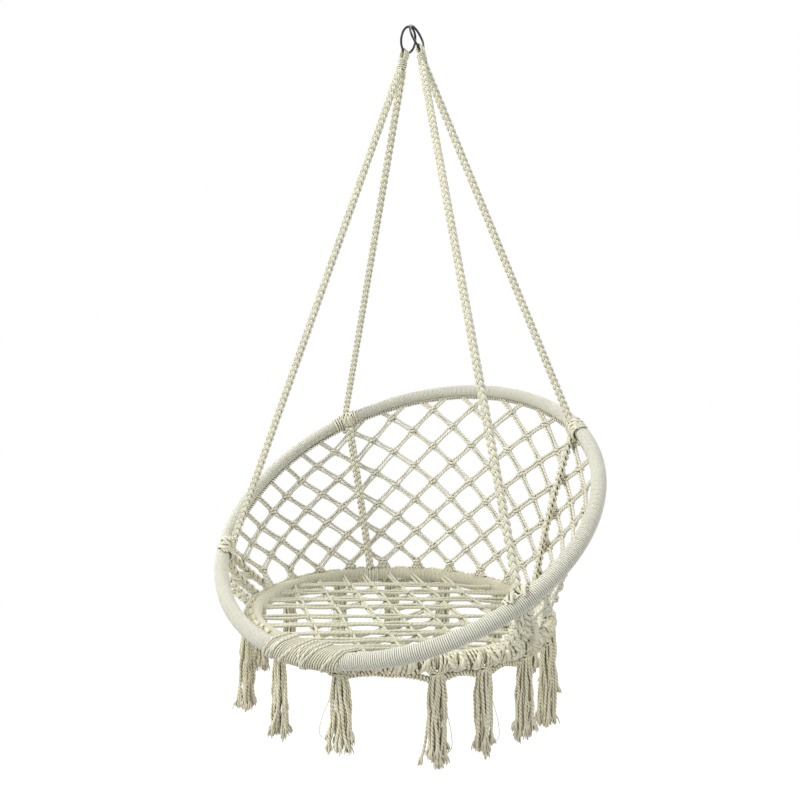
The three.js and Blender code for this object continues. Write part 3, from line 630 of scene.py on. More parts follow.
def add_winding(name, hoop, finish, seed):
    core = hoop.at(np.linspace(-math.pi / 2, HOOP_FRONT, HOOP_STEPS))
    turns = (WINDING_REACH, WINDING_REACH, WINDING_PITCH)
    winding = coil(core, hoop.facing, *turns, steps=WINDING_STEPS, rough=WINDING_ROUGH, seed=seed)
    cover = make_cords(f"{name}_cord", [(winding, WINDING_CORD, False)], finish, WINDING_TWIST)
    finish_piece(cover, "chair", name)


def dress_node(name, finish):
    node = bpy.data.objects[name]
    node.data.materials.clear()
    node.data.materials.append(finish)


add_winding("back_hoop_wrap", back_hoop, BACK_HOOP_FINISH, 3)
dress_node("back_hoop_frame", TUBE_FINISH)

# Seat hoop
# The smaller, level hoop that carries the seat, a steel tube like the back hoop's. Its winding is the
# same cord in a darker copy of its finish, as painted shade, and the two hoops touch at the front.
SEAT_RADIUS = 286
SEAT_CENTRE = (0, -7.65, -1173.4)
# Painted shade: the winding's cord tone, darker and warmer than the back hoop's copy of the same cord.
SEAT_HOOP_SHADED_TONE = (0.88, 0.85, 0.685, 1)
SEAT_HOOP_SHADED_COTTON = ("wound_cotton_painted_shade", SEAT_HOOP_SHADED_TONE, HOOP_PAINTED_SHADE)
SEAT_HOOP_SHADED_FINISH = cord_finish(*SEAT_HOOP_SHADED_COTTON, 2, WINDING_TWIST, 0.7, 0.12)
seat_hoop = Hoop(SEAT_RADIUS, SEAT_CENTRE, 0)
add_winding("seat_hoop_wrap", seat_hoop, SEAT_HOOP_SHADED_FINISH, 4)
dress_node("seat_hoop_frame", TUBE_FINISH)

# Rope knots
# Each rope is hitched to the back hoop and its cords are laid over the hoop's inner side. The back
# left knot has a few slanting turns of cord on both sides, and the other knots have none.
KNOT_CORD = 4.4
KNOT_TURN_REACHES = (14.8, 15.4, 16.4, 14.8)
KNOT_TURN_SWEEP = (-50, 300)
KNOT_TURN_LEAN = 7
KNOT_TURN_STEPS = 30
KNOT_TURN_PLACES = {-1: (-22, -16, 13, 19.5, 25.5, 32), 1: ()}
KNOT_OVER_STEP = 4.1
KNOT_OVER_LEAN = 11
KNOT_OVER_STRAY = 0.8
KNOT_LUMPS = 5
KNOT_LUMP_STEPS = 14
KNOT_LUMP_TURNS = (70, 110)
KNOT_LUMP_SWEEP = 60
KNOT_LUMP_LEAN = 16
KNOT_LUMP_REACHES = (15, 20.5, 21, 16)
BACK_KNOT_OVERS = {-1: 6, 1: 8}
BACK_KNOT_SWEEP = (40, 310)
BACK_KNOT_REACHES = (14.8, 18, 20, 20.4, 19.5, 14)
FRONT_KNOT_OVERS = 11
FRONT_KNOT_SWEEP = (95, 285)
FRONT_KNOT_REACHES = (13.6, 18, 20.5, 19, 13.6)
FRONT_KNOT_SHIFT = 6


def over_hoop(hoop, angle, lean, start, end, reaches, count=24):
    """A cord laid over a hoop. Its turn runs from the outer side over the top to the inner side."""
    turn = np.radians(np.linspace(start, end, count))
    reach = spread_over(reaches, count)
    place = angle + spread_over((-lean / 2, lean / 2), count) / hoop.radius
    return hoop.at(place, reach * np.cos(turn), reach * np.sin(turn))


def add_knot(name, side, angle, turn_places, overs, sweep, reaches, seed):
    rng = np.random.default_rng(seed)
    lines = []
    for place in turn_places:
        lean = KNOT_TURN_LEAN * rng.uniform(0.6, 1.3)
        spot = angle - side * place / BACK_RADIUS
        loop = over_hoop(back_hoop, spot, lean, *KNOT_TURN_SWEEP, KNOT_TURN_REACHES, KNOT_TURN_STEPS)
        lines.append((loop, KNOT_CORD, False))
    for spot in range(overs):
        place = (spot - (overs - 1) / 2) * KNOT_OVER_STEP
        lean = rng.uniform(-KNOT_OVER_LEAN, KNOT_OVER_LEAN)
        reach = np.array(reaches) + rng.uniform(-KNOT_OVER_STRAY, KNOT_OVER_STRAY)
        arc = over_hoop(back_hoop, angle + place / BACK_RADIUS, lean, *sweep, reach)
        lines.append((arc, KNOT_CORD + rng.uniform(-0.2, 0.8), False))
    for _ in range(KNOT_LUMPS):
        place = rng.uniform(-1, 1) * overs / 2 * KNOT_OVER_STEP
        turn = rng.uniform(*KNOT_LUMP_TURNS)
        spot = angle + place / BACK_RADIUS
        ends = (turn, turn + KNOT_LUMP_SWEEP)
        lump = over_hoop(back_hoop, spot, KNOT_LUMP_LEAN, *ends, KNOT_LUMP_REACHES, KNOT_LUMP_STEPS)
        lines.append((lump, KNOT_CORD + 1, False))
    knot = make_cords(f"{name}_cords", lines, BRAID_FINISH, BRAID_PITCH)
    finish_piece(knot, "chair", name)


for side_name, side in SIDES:
    form = (KNOT_TURN_PLACES[side], BACK_KNOT_OVERS[side], BACK_KNOT_SWEEP, BACK_KNOT_REACHES)
    add_knot(f"knot_back_{side_name}", side, back_knot_angle(side), *form, 5)
    angle = front_knot_angle(side) - side * FRONT_KNOT_SHIFT / BACK_RADIUS
    form = ((), FRONT_KNOT_OVERS, FRONT_KNOT_SWEEP, FRONT_KNOT_REACHES)
    add_knot(f"knot_front_{side_name}", side, angle, *form, 6)

# Lower back ropes
# Below each back knot a flat braid of the same cotton cord runs on inside the net, down to the seat
# hoop, and its end is hitched round the hoop.
KNOT_REACH = 20.4
LOWER_TURN = math.radians(47)
LOWER_INSET = 13
LOWER_REACH = (6.4, 5.6, 5.2, 5.0, 5.4)
LOWER_RISE = 4
LOWER_CORD = 5
LOWER_PERIOD = 38
LOWER_STEPS = 200
LANDING_LENGTH = 30
HITCH_CORD = 3.6
HITCH_GAP = 0.5
HITCH_REACH = HOOP_TUBE_RADIUS + HITCH_GAP
HITCH_LEAN = 3
HITCH_STRAY = 0.4
HITCH_SWEEP = (-100, 250)
HITCH_STEPS = 26


def hitches(hoop, angle, length, seed):
    """Low turns of cord round a hoop, with a slight slant."""
    rng = np.random.default_rng(seed)
    lines = []
    for place in np.arange(-length / 2, length / 2, HITCH_CORD + HITCH_GAP):
        reach = HITCH_REACH + rng.uniform(-HITCH_STRAY, HITCH_STRAY)
        lean = rng.uniform(-HITCH_LEAN, HITCH_LEAN)
        spot = angle + place / hoop.radius
        turn = over_hoop(hoop, spot, lean, *HITCH_SWEEP, (reach, reach), HITCH_STEPS)
        lines.append((turn, HITCH_CORD, False))
    return lines


def add_lower_rope(name, side):
    landing = HOOP_BACK - side * LOWER_TURN
    inward = -seat_hoop.outward(landing)
    top = back_hoop.at(back_knot_angle(side)) + LOWER_INSET * inward
    rim = HOOP_TUBE_RADIUS / 2
    bottom = seat_hoop.at(landing) + rim * inward + (0, 0, rim)
    middle = (top + bottom) / 2 + LOWER_INSET / 2 * inward
    path = smooth_path([top, middle, bottom], LOWER_STEPS)
    run = run_of(path)
    path = path[(run > KNOT_REACH) & (run < run[-1] - rim)]
    across = np.cross((0, 0, 1), inward)
    lines = braid(path, across, spread_over(LOWER_REACH, len(path)), LOWER_RISE, LOWER_PERIOD, LOWER_CORD)
    lines += hitches(seat_hoop, landing, LANDING_LENGTH, 2)
    rope = make_cords(f"{name}_braid", lines, BRAID_FINISH, BRAID_PITCH)
    finish_piece(rope, "chair", name)


for side_name, side in SIDES:
    add_lower_rope(f"rope_lower_{side_name}", side)

# Side cords
# From each front knot three thick braided bundles fan out to the seat hoop, with a slanting band of
# loose cords between them.
BUNDLES = {-1: ((33, 28), (23, 16), (12, 4)), 1: ((26, 15), (17, 12), (7, 8))}
BUNDLE_REACH = 6
BUNDLE_RISE = 3.2
BUNDLE_PERIOD = 44
BUNDLE_CORD = 5.6
BUNDLE_LANDING = math.radians(20)
BUNDLE_DROP = 4
BUNDLE_STEPS = 60
BAND_SHARES = (0.4, 0.62)
BAND_CORDS = 3
BAND_APART = 4
BAND_SPREAD = 1.2
NET_CORD = 6
NET_APART = 2.9
NET_STRAY = 1.2
NET_PITCH = 17
PAIR_STEP = 6
PAIR_STEPS_LEAST = 6
# The net cord's finish has a dark brown painted shade for its ply grooves and creases.
NET_FINISH = cord_finish("twisted_cotton", (0.93, 0.91, 0.77, 1), (0.20, 0.17, 0.08, 1), 2, NET_PITCH, 0.5)


def loose_pair(start, end, normal, rng, count=2, apart=2 * NET_APART, spread=1.0, stray=NET_STRAY, waist=0.0):
    """Cords side by side from one place to another, each with a slight bow of its own."""
    steps = max(PAIR_STEPS_LEAST, int(np.linalg.norm(end - start) / PAIR_STEP))
    share = np.linspace(0, 1, steps)[:, None]
    side = unit(np.cross(end - start, normal))
    bow = np.sin(math.pi * share)
    lines = []
    for index in range(count):
        across = (index - (count - 1) / 2) * apart * (1 + (spread - 1) * share) * (1 - waist * bow)
        sway = rng.uniform(-stray, stray) * bow
        lift = rng.uniform(-stray, stray) * bow
        points = start + share * (end - start) + (across + sway) * side + lift * normal
        lines.append((points, NET_CORD, False))
    return lines


def add_side_cords(name, side):
    rng = np.random.default_rng(20)
    top = back_hoop.at(front_knot_angle(side)) - (0, 0, BUNDLE_DROP)
    lines = []
    routes = []
    for degrees, offset in BUNDLES[side]:
        landing = -math.radians(degrees) if side > 0 else math.pi + math.radians(degrees)
        outward = seat_hoop.outward(landing)
        climb = np.array((0, 0, math.sin(BUNDLE_LANDING))) + math.cos(BUNDLE_LANDING) * outward
        bottom = seat_hoop.at(landing) + HOOP_TUBE_RADIUS * climb
        path = smooth_path([top, (top + bottom) / 2 + offset * outward, bottom], BUNDLE_STEPS)
        path = path[run_of(path) > HOOP_TUBE_RADIUS]
        routes.append(path)
        lines += braid(path, outward, BUNDLE_REACH, BUNDLE_RISE, BUNDLE_PERIOD, BUNDLE_CORD)
    for near, far in zip(routes, routes[1:]):
        start = near[int(BAND_SHARES[0] * len(near))]
        end = far[int(BAND_SHARES[1] * len(far))]
        lines += loose_pair(start, end, unit(outward), rng, BAND_CORDS, BAND_APART, BAND_SPREAD)
    cords = make_cords(f"{name}_cords", lines, BRAID_FINISH, BRAID_PITCH)
    finish_piece(cords, "chair", name)


for side_name, side in SIDES:
    add_side_cords(f"side_cords_{side_name}", side)

# Back net
# A hand-knotted diamond net of doubled cords that hangs from a hitched edge cord along the back hoop.
# Its lowest knots drop thick bundles to the seat hoop, where the cords wrap into the winding.
KNOT_LENGTH = 44
NET_COLUMN = math.radians(8.05)
NET_EDGE = 14
NET_ROWS = 9
NET_SLANT = 15
NET_LEG = math.radians(4.8)
NET_SLANT_LEG = math.radians(6.6)
NET_FOOT = math.radians(1.7)
NET_TOP_SHARE = 0.09
NET_SIDE_SHARE = 0.165
NET_SIDE_STEP = 0.037
NET_BOTTOM_SHARE = 0.93
NET_BOTTOM_RISE = 0.0085
NET_BOW = 0.025
NET_KNOT_RISE = 5.4
NET_KNOT_WIDE = (7.2, 9.4, 7.6)
NET_KNOT_DEEP = (4.4, 5.8, 4.8)
NET_WAIST = 0.48
NET_KNOT_SPREAD = 1.85
EDGE_CORD = 3.6
EDGE_REACH = 3.4
EDGE_PITCH = 6.4
EDGE_OFFSET = 15.8
EDGE_ENDS = (math.radians(-24), math.radians(204))
EDGE_STEPS = 500
FOOT_CORDS = 3
FOOT_APART = 3.6
FOOT_SPREAD = 1.8
FOOT_STEP = 2


def net_point(angle, share):
    return (1 - share) * back_hoop.at(angle) + share * seat_hoop.at(angle)


def net_share(index, row):
    far = abs(index)
    sideways = max(0, far - (NET_SLANT - NET_ROWS + 1))
    top_row = min(NET_ROWS, NET_SLANT - far)
    at_side = far > NET_SLANT - NET_ROWS
    top = NET_SIDE_SHARE + NET_SIDE_STEP * sideways if at_side else NET_TOP_SHARE
    bottom = NET_BOTTOM_SHARE - NET_BOTTOM_RISE * max(0, sideways - 1) ** 2
    fallen = (top_row - row) / top_row
    bow = 0 if at_side else NET_BOW * math.sin(math.pi * fallen)
    return top + (bottom - top) * fallen + bow


class NetKnot:
    def __init__(self, angle, share):
        self.place = net_point(angle, share)
        self.up = unit(net_point(angle, 0) - net_point(angle, 1))
        beside = net_point(angle + NET_COLUMN / 4, share) - net_point(angle - NET_COLUMN / 4, share)
        self.normal = unit(np.cross(beside, -self.up))
        self.across = np.cross(self.up, self.normal)


def pad_place(hoop, angle, knot, reach):
    wire = hoop.at(angle)
    along = np.cross(hoop.facing, hoop.outward(angle))
    away = knot - wire
    return wire + reach * unit(away - np.dot(away, along) * along)


def knot_coil(knot, rng):
    lean = rng.uniform(-0.5, 0.5) * knot.across
    reach = NET_KNOT_RISE * (knot.up + lean)
    core = np.array([knot.place - reach, knot.place, knot.place + reach])
    phase = rng.uniform(0, 2 * math.pi)
    turns = (NET_KNOT_WIDE, NET_KNOT_DEEP, NET_CORD)
    return coil(core, knot.across, *turns, phase, rough=0.6, seed=int(phase * 1000))


def net_edge_lines():
    """The hitched cord along the back hoop that the net hangs from."""
    angle = np.linspace(*EDGE_ENDS, EDGE_STEPS)
    wire = back_hoop.at(angle)
    along = unit(np.gradient(wire, axis=0))
    toward = seat_hoop.at(angle) - wire
    toward = unit(toward - np.sum(toward * along, axis=1, keepdims=True) * along)
    path = wire + EDGE_OFFSET * toward
    hitched = coil(path, toward[0], EDGE_REACH, EDGE_REACH, EDGE_PITCH, rough=0.5, seed=15)
    return [(hitched, EDGE_CORD, False), (path[::4], EDGE_CORD - 1, False)]


def back_net_lines():
    rng = np.random.default_rng(11)
    knots = {}
    for index in range(-NET_EDGE, NET_EDGE + 1):
        for row in range(NET_ROWS + 1):
            if abs(index + row) % 2 == 1 and row + abs(index) <= NET_SLANT:
                angle = HOOP_BACK + NET_COLUMN * index
                knots[index, row] = NetKnot(angle, net_share(index, row))
    rope_places = [place(side) for place in (back_knot_angle, front_knot_angle) for side in (-1, 1)]
    taken = (KNOT_LENGTH + 2 * NET_CORD) / 2 / BACK_RADIUS
    lines = net_edge_lines()
    for (index, row), knot in knots.items():
        lines.append((knot_coil(knot, rng), NET_CORD, False))
        middle = HOOP_BACK + NET_COLUMN * index
        for side in (-1, 1):
            below = knots.get((index + side, row - 1))
            outer = index == 0 or side * index > 0
            if below:
                apart = 2 * NET_APART * NET_KNOT_SPREAD
                lines += loose_pair(knot.place, below.place, knot.normal, rng, 2, apart, waist=NET_WAIST)
            elif row == 0:
                angle = middle + side * NET_FOOT
                pad = pad_place(seat_hoop, angle, knot.place, HOOP_TUBE_RADIUS - 1)
                start = knot.place + side * FOOT_STEP * knot.across
                lines += loose_pair(start, pad, knot.normal, rng, FOOT_CORDS, FOOT_APART, FOOT_SPREAD)
            at_top = row == NET_ROWS and (index + side, row + 1) not in knots
            at_slant = outer and row < NET_ROWS and row + abs(index) == NET_SLANT
            if at_top or at_slant:
                angle = middle + side * (NET_SLANT_LEG if at_slant else NET_LEG)
                on_knot = any(abs(place - angle) < taken for place in rope_places)
                reach = KNOT_REACH if on_knot else HOOP_TUBE_RADIUS
                pad = pad_place(back_hoop, angle, knot.place, reach)
                lines += loose_pair(knot.place, pad, knot.normal, rng)
    return lines


net = make_cords("back_net_cords", back_net_lines(), NET_FINISH, NET_PITCH)
finish_piece(net, "chair", "back_net")

# Seat net
# Flat pairs of cords cross the seat hoop one way and lighter slanting pairs lie over them. They are
# tied where they cross, with darker loose ties underneath, and end in the hoop's winding.
SEAT_TURNS = (math.radians(-41.5), math.radians(36))
SEAT_LINES = (
    (-0.65, -0.437, -0.213, -0.042, 0.175, 0.36, 0.59),
    (0.59, 0.392, 0.196, 0.014, -0.203, -0.378, -0.535, -0.675, -0.79),
)
SEAT_CLEAR = HOOP_TUBE_RADIUS + 24
SEAT_KNOT_LENGTH = 4
SEAT_KNOT_REACH = 4.6
SEAT_LEANS = (0.75, 0.25)
SEAT_LIFT = 4.6
SEAT_STRAY = 2.1
SEAT_TIE_SHARE = 0.75
SEAT_TIE_DROP = 6
SEAT_TIE_APART = 3.5
SEAT_TIE_STRAY = 3
SEAT_LIGHT = (0.77, 0.755, 0.60, 1)
# The seat cord's finish has a dark painted shade for its ply grooves and creases.
SEAT_FINISH = cord_finish("flat_cotton", SEAT_LIGHT, (0.18, 0.155, 0.07, 1), 2, NET_PITCH, 0.74)
LASHED_DEPTH = 20.6
LASHED_REACH = 40


def seat_net_lines():
    rng = np.random.default_rng(12)
    families = []
    for family, turn in enumerate(SEAT_TURNS):
        along = np.array((math.cos(turn), math.sin(turn), 0))
        across = np.array((-math.sin(turn), math.cos(turn), 0))
        families.append([(along, across, share * SEAT_RADIUS, []) for share in SEAT_LINES[family]])
    lines = []
    grid = {}
    up = np.array((0, 0, 1.0))
    for row, (along, across, away, crossings) in enumerate(families[0]):
        for file, (other_along, other_across, other_away, other_crossings) in enumerate(families[1]):
            travel = (other_away - away * np.dot(across, other_across)) / np.dot(along, other_across)
            spot = away * across + travel * along
            if np.linalg.norm(spot) <= SEAT_RADIUS - SEAT_CLEAR:
                crossings.append(spot)
                other_crossings.append(spot)
                grid[row, file] = seat_hoop.centre + spot - SEAT_TIE_DROP * up
                ends = np.array([-0.5, 0.5])[:, None] * SEAT_KNOT_LENGTH
                core = seat_hoop.centre + spot + ends * other_along
                turns = (SEAT_KNOT_REACH + 1, SEAT_KNOT_REACH, NET_CORD)
                wrap = coil(core, other_across, *turns, rng.uniform(0, 6))
                lines.append((wrap, NET_CORD - 0.6, False))
    for (row, file), spot in grid.items():
        beyond = grid.get((row + 1, file - 1))
        if beyond is not None and rng.uniform() < SEAT_TIE_SHARE:
            lines += loose_pair(spot, beyond, up, rng, 2, SEAT_TIE_APART, stray=SEAT_TIE_STRAY)
    for family, group in enumerate(families):
        lift = (family - 0.5) * SEAT_LIFT
        lean = SEAT_LEANS[family]
        for along, across, away, crossings in group:
            if not crossings:
                continue
            ends = []
            for end in (-1, 1):
                reach = math.sqrt((SEAT_RADIUS - HOOP_TUBE_RADIUS) ** 2 - away**2)
                spot = away * across + end * reach * along
                lashed = abs(spot[0]) < LASHED_REACH and spot[1] < 0
                depth = LASHED_DEPTH if lashed else HOOP_TUBE_RADIUS - 2
                reach = math.sqrt((SEAT_RADIUS - depth) ** 2 - away**2)
                ends.append(seat_hoop.centre + away * across + end * reach * along)
            stops = sorted(crossings, key=lambda spot: np.dot(spot, along))
            places = [ends[0]] + [seat_hoop.centre + spot + lift * up for spot in stops] + [ends[1]]
            for near, far in zip(places, places[1:]):
                normal = math.cos(lean) * up - math.sin(lean) * across
                lines += loose_pair(near, far, normal, rng, stray=SEAT_STRAY)
    return lines


net = make_cords("seat_net_cords", seat_net_lines(), SEAT_FINISH, NET_PITCH)
finish_piece(net, "chair", "seat_net")

# Front lashing
# Where the hoops touch, one long thin cord is wound round both of them together. A few thicker cords
# slant over it, and a hitched chain runs along the underside over the two front tassels.
LASHING_ENDS = (-62, 90)
LASHING_SLANT = 14
LASHING_REACH = HOOP_TUBE_RADIUS + 1.2
LASHING_CORD = 3.5
LASHING_PITCH = 4.8
LASHING_STEPS = 36
OVER_STEPS = 44
OVER_LASHING = ((-56, 16), (-46, 30), (-40, 22), (-14, 36), (20, -10), (25, 14), (30, 30), (72, 34))
OVER_CORD = 4.8
OVER_REACH = LASHING_REACH + LASHING_CORD / 2 - 0.3
CHAIN_CORD = 4.6
CHAIN_DEPTH = HOOP_TUBE_RADIUS + CHAIN_CORD * 0.4
CHAIN_REACH = 3.2
CHAIN_REACH_UP = CHAIN_REACH + 1.5
CHAIN_PITCH = 6.4
CHAIN_STEPS = 30
CHAIN_ENDS = ((-66, -18), (22, 104))


def both_hoops(across):
    seat = seat_hoop.at(-math.acos(across / SEAT_RADIUS))
    back = back_hoop.at(-math.acos(across / BACK_RADIUS))
    outward = unit((back - seat) * (0, 1, 1))
    return seat, back, outward, np.array((0, outward[2], -outward[1]))


def lashing_point(across, slant, turn, reach):
    seat, back, outward, upward = both_hoops(across + slant / 2 * math.sin(turn))
    centre = back if math.cos(turn) > 0 else seat
    return centre + reach * (math.cos(turn) * outward + math.sin(turn) * upward)


def lashing_winding():
    """The thin cord round both hoops, turn against turn."""
    first, last = LASHING_ENDS
    turns = int((last - first) / LASHING_PITCH)
    points = []
    for turn in np.linspace(0, 2 * math.pi * turns, LASHING_STEPS * turns):
        across = first + (last - first) * turn / (2 * math.pi * turns)
        points.append(lashing_point(across, LASHING_SLANT, turn, LASHING_REACH))
    return np.array(points)


def over_lashing_lines():
    """The thicker cords over the lashing, and the chain underneath."""
    rng = np.random.default_rng(13)
    lines = []
    for across, slant in OVER_LASHING:
        reach = OVER_REACH + rng.uniform(0, 0.5)
        turns = np.linspace(0, 2 * math.pi, OVER_STEPS, endpoint=False)
        loop = [lashing_point(across, slant, turn, reach) for turn in turns]
        lines.append((np.array(loop), OVER_CORD, True))
    for first, last in CHAIN_ENDS:
        chain = []
        for across in np.linspace(first, last, CHAIN_STEPS):
            seat, back, _, upward = both_hoops(across)
            chain.append((seat + back) / 2 - CHAIN_DEPTH * upward)
        turns = (CHAIN_REACH, CHAIN_REACH_UP, CHAIN_PITCH)
        hitched = coil(np.array(chain), (0, 0, 1), *turns, rough=0.8, seed=16)
        lines.append((hitched, CHAIN_CORD, False))
        lines.append((np.array(chain), CHAIN_CORD, False))
    return lines


lines = [(lashing_winding(), LASHING_CORD, False)]
# The lashing winding takes the seat hoop's darker copy of the cord finish, as painted shade.
lashing = make_cords("front_lashing_winding", lines, SEAT_HOOP_SHADED_FINISH, WINDING_TWIST)
finish_piece(lashing, "chair", "front_lashing")
over_lashing = make_cords("front_lashing_cords", over_lashing_lines(), NET_FINISH, NET_PITCH)
finish_piece(over_lashing, "chair", "front_lashing")

# Tassels
# Fifteen tassels hang round the seat hoop: a flat knob of crossed cords, a bound neck and a bunch of
# loose two-ply cords whose ends are frayed.
TASSEL_TURNS = (5, 30, 51, 74, 101, 126, 151, 178, 200, 232, 260, 284, 314, 330, 348)
TASSEL_FALLS = (172, 160, 158, 162, 156, 160, 158, 160, 157, 170, 152, 138, 158, 156, 156)
TASSEL_WIDTHS = (1.15, 1, 1, 0.95, 1, 1.05, 1, 0.95, 1, 1.05, 0.85, 1.05, 0.95, 0.95, 0.95)
TASSEL_SEED = 100
FRONT_DEGREES = 270
VALLEY_TURN = 16
VALLEY_DROP = 6.5
PIVOT_REACH = 15.7
VALLEY_REACH = 14.15
KNOB_TOP = -4
KNOB_BOTTOM = -15
KNOB_DEPTHS = {1: (0.5, 2.4, 4.8, 4.2), -1: (0.5, 0.3, -3.2, -4)}
KNOB_STARTS = (-13, -9, -4.5, 4.5, 9, 13)
KNOB_CROSS = 0.55
KNOB_CORD = 4.8
KNOB_STEPS = 16
NECK_BOTTOM = -22
NECK_WIDE = 10.6
NECK_DEEP = 6
NECK_CORD = 5.3
STRANDS = 21
STRAND_CORD = 5.7
STRAND_PITCH = 14
STRAND_DEPTH = 0.4
STRAND_SPREAD = (9.4, 13.4, 14.8, 15.2, 15.6, 16.2, 17.6)
STRAND_FALL = 14
STRAND_STRAY = 3.4
STRAND_LEAN = 6
STRAND_FLAT = (0.82, 1.14)
STRAND_STEP = 2.2
STRAND_BENDS = 7
STRAND_POINTS = 8
STRAND_TURN = 2.399
STRAND_TWIST = 0.9
FRAY_FIBRES = 13
FRAY_LENGTH = 18
FRAY_SHARE = 0.75
FRAY_REACH = 7
FRAY_THICK = (2.8, 2.8, 2.6, 1.8)
FRAY_LEAN = 0.03
YARN = 1.3
YARN_BOW = 13
YARN_STEPS = 24
YARN_FALLS = (0.4, 0.7, 0.85, 0.92)
FRAY_PITCH = 30
TASSEL_LIGHT = (1.0, 0.955, 0.735, 1)
# Painted shade for the tassel cords' ply grooves and creases.
TASSEL_PAINTED_SHADE = (0.16, 0.115, 0.03, 1)
FRAY_LIGHT = (0.92, 0.87, 0.69, 1)
TASSEL_FINISH = cord_finish("tassel_cotton", TASSEL_LIGHT, TASSEL_PAINTED_SHADE, 2, STRAND_PITCH, 0.48)
# The frayed fibres' finish has a painted shade for their grooves and creases.
FRAY_FINISH = cord_finish("frayed_cotton", FRAY_LIGHT, (0.30, 0.24, 0.11, 1), 1, FRAY_PITCH, 0.8)


def tassel_frame(degrees):
    angle = math.radians(degrees)
    valley = abs(degrees - FRONT_DEGREES) < VALLEY_TURN
    outward = seat_hoop.outward(angle)
    reach = VALLEY_REACH if valley else PIVOT_REACH
    drop = VALLEY_DROP if valley else 0
    pivot = seat_hoop.at(angle) + reach * outward - np.array((0, 0, drop))
    return pivot, np.stack([outward, np.cross((0, 0, 1), outward), (0, 0, 1)])


def fray_lines(tip, rng):
    """The short fibres that a cord's end opens into."""
    fibres = []
    for _ in range(FRAY_FIBRES):
        away = rng.uniform(0, 2 * math.pi)
        reach = FRAY_REACH * rng.uniform(0.1, 1)
        fall = FRAY_LENGTH * rng.uniform(0.65, 1)
        side = np.array((math.cos(away), math.sin(away), 0)) + tip * (FRAY_LEAN, FRAY_LEAN, 0)
        bend = [(-0.15, 0.9), (0.15, 1.3), (0.5, 0.55 * reach + 1), (1, reach)]
        fibre = np.array([tip + out * side + np.array((0, 0, -fall * down)) for down, out in bend])
        fibres.append((fibre, np.array(FRAY_THICK), False))
    return fibres


def strand_lines(bottom, width, rng):
    """Loose cords from the neck down, the fibres that they fray into, and a stray yarn."""
    cords, fibres = [], []
    top = KNOB_BOTTOM - 1
    lean = rng.uniform(-STRAND_LEAN, STRAND_LEAN)
    for index in range(STRANDS):
        depth = math.sqrt((index + 0.6) / STRANDS) * width
        end = bottom + FRAY_SHARE * FRAY_LENGTH + rng.uniform(0, STRAND_FALL)
        count = int((top - end) / STRAND_STEP)
        spread = spread_over(STRAND_SPREAD, count) * depth
        start = index * STRAND_TURN + rng.uniform(-0.25, 0.25)
        turn = spread_over((start, start + rng.uniform(-STRAND_TWIST, STRAND_TWIST)), count)
        loose = spread_over((0, 1, 1), count)
        x = spread * np.cos(turn) * STRAND_FLAT[0] + drift(rng, STRAND_STRAY, STRAND_BENDS, count) * loose
        y = spread * np.sin(turn) * STRAND_FLAT[1] + drift(rng, STRAND_STRAY, STRAND_BENDS, count) * loose
        y = y + lean * loose
        route = np.stack([x, y, np.linspace(top, end, count)], 1)
        path = smooth_path(route[:: count // STRAND_POINTS], count)
        cords.append((path, STRAND_CORD, False))
        fibres += fray_lines(path[-1], rng)
    side = rng.choice((-1, 1))
    reach = side * (width * STRAND_SPREAD[-1] + YARN_BOW * rng.uniform(0.4, 1))
    inner = side * width * STRAND_SPREAD[2]
    yarn = np.stack([(0, 2, 3, 0), (inner, reach, reach, inner), np.array(YARN_FALLS) * bottom], 1)
    fibres.append((smooth_path(yarn, YARN_STEPS), YARN, False))
    return cords, fibres


def tassel_top_lines(rng):
    """The crossed cords of the knob, and the turns that bind the neck."""
    lines = []
    for index, across in enumerate(KNOB_STARTS):
        front = 1 if index % 2 else -1
        cross = -KNOB_CROSS * across + rng.uniform(-1, 1)
        beside = (across, 0.85 * across, 0.4 * cross, cross)
        down = (KNOB_TOP, (KNOB_TOP + KNOB_BOTTOM) / 2, KNOB_BOTTOM, NECK_BOTTOM + 2)
        path = np.stack([KNOB_DEPTHS[front], beside, down], 1)
        lines.append((smooth_path(path, KNOB_STEPS), KNOB_CORD, False))
    core = np.array([(0, 0, KNOB_BOTTOM + 1), (0, 0, NECK_BOTTOM + 2)])
    binding = coil(core, (0, 1, 0), NECK_WIDE, NECK_DEEP, STRAND_CORD, steps=14, rough=0.8, seed=8)
    lines.append((binding, NECK_CORD, False))
    return lines


def add_tassel(name, degrees, fall, width, seed):
    rng = np.random.default_rng(seed)
    pivot, turned = tassel_frame(degrees)
    cords = tassel_top_lines(rng)
    strands, fibres = strand_lines(-fall, width, rng)
    placed = [(pivot + points @ turned, diameter, closed) for points, diameter, closed in cords + strands]
    tassel = make_cords(f"{name}_cords", placed, TASSEL_FINISH, STRAND_PITCH, 8, depth=STRAND_DEPTH)
    finish_piece(tassel, name, name)
    placed = [(pivot + points @ turned, diameter, closed) for points, diameter, closed in fibres]
    fray = make_cords(f"{name}_fray", placed, FRAY_FINISH, FRAY_PITCH, 4, 1)
    finish_piece(fray, name, None)


for number, (degrees, fall, width) in enumerate(zip(TASSEL_TURNS, TASSEL_FALLS, TASSEL_WIDTHS), 1):
    add_tassel(f"tassel_{number:02d}", degrees, fall, width, TASSEL_SEED + number)

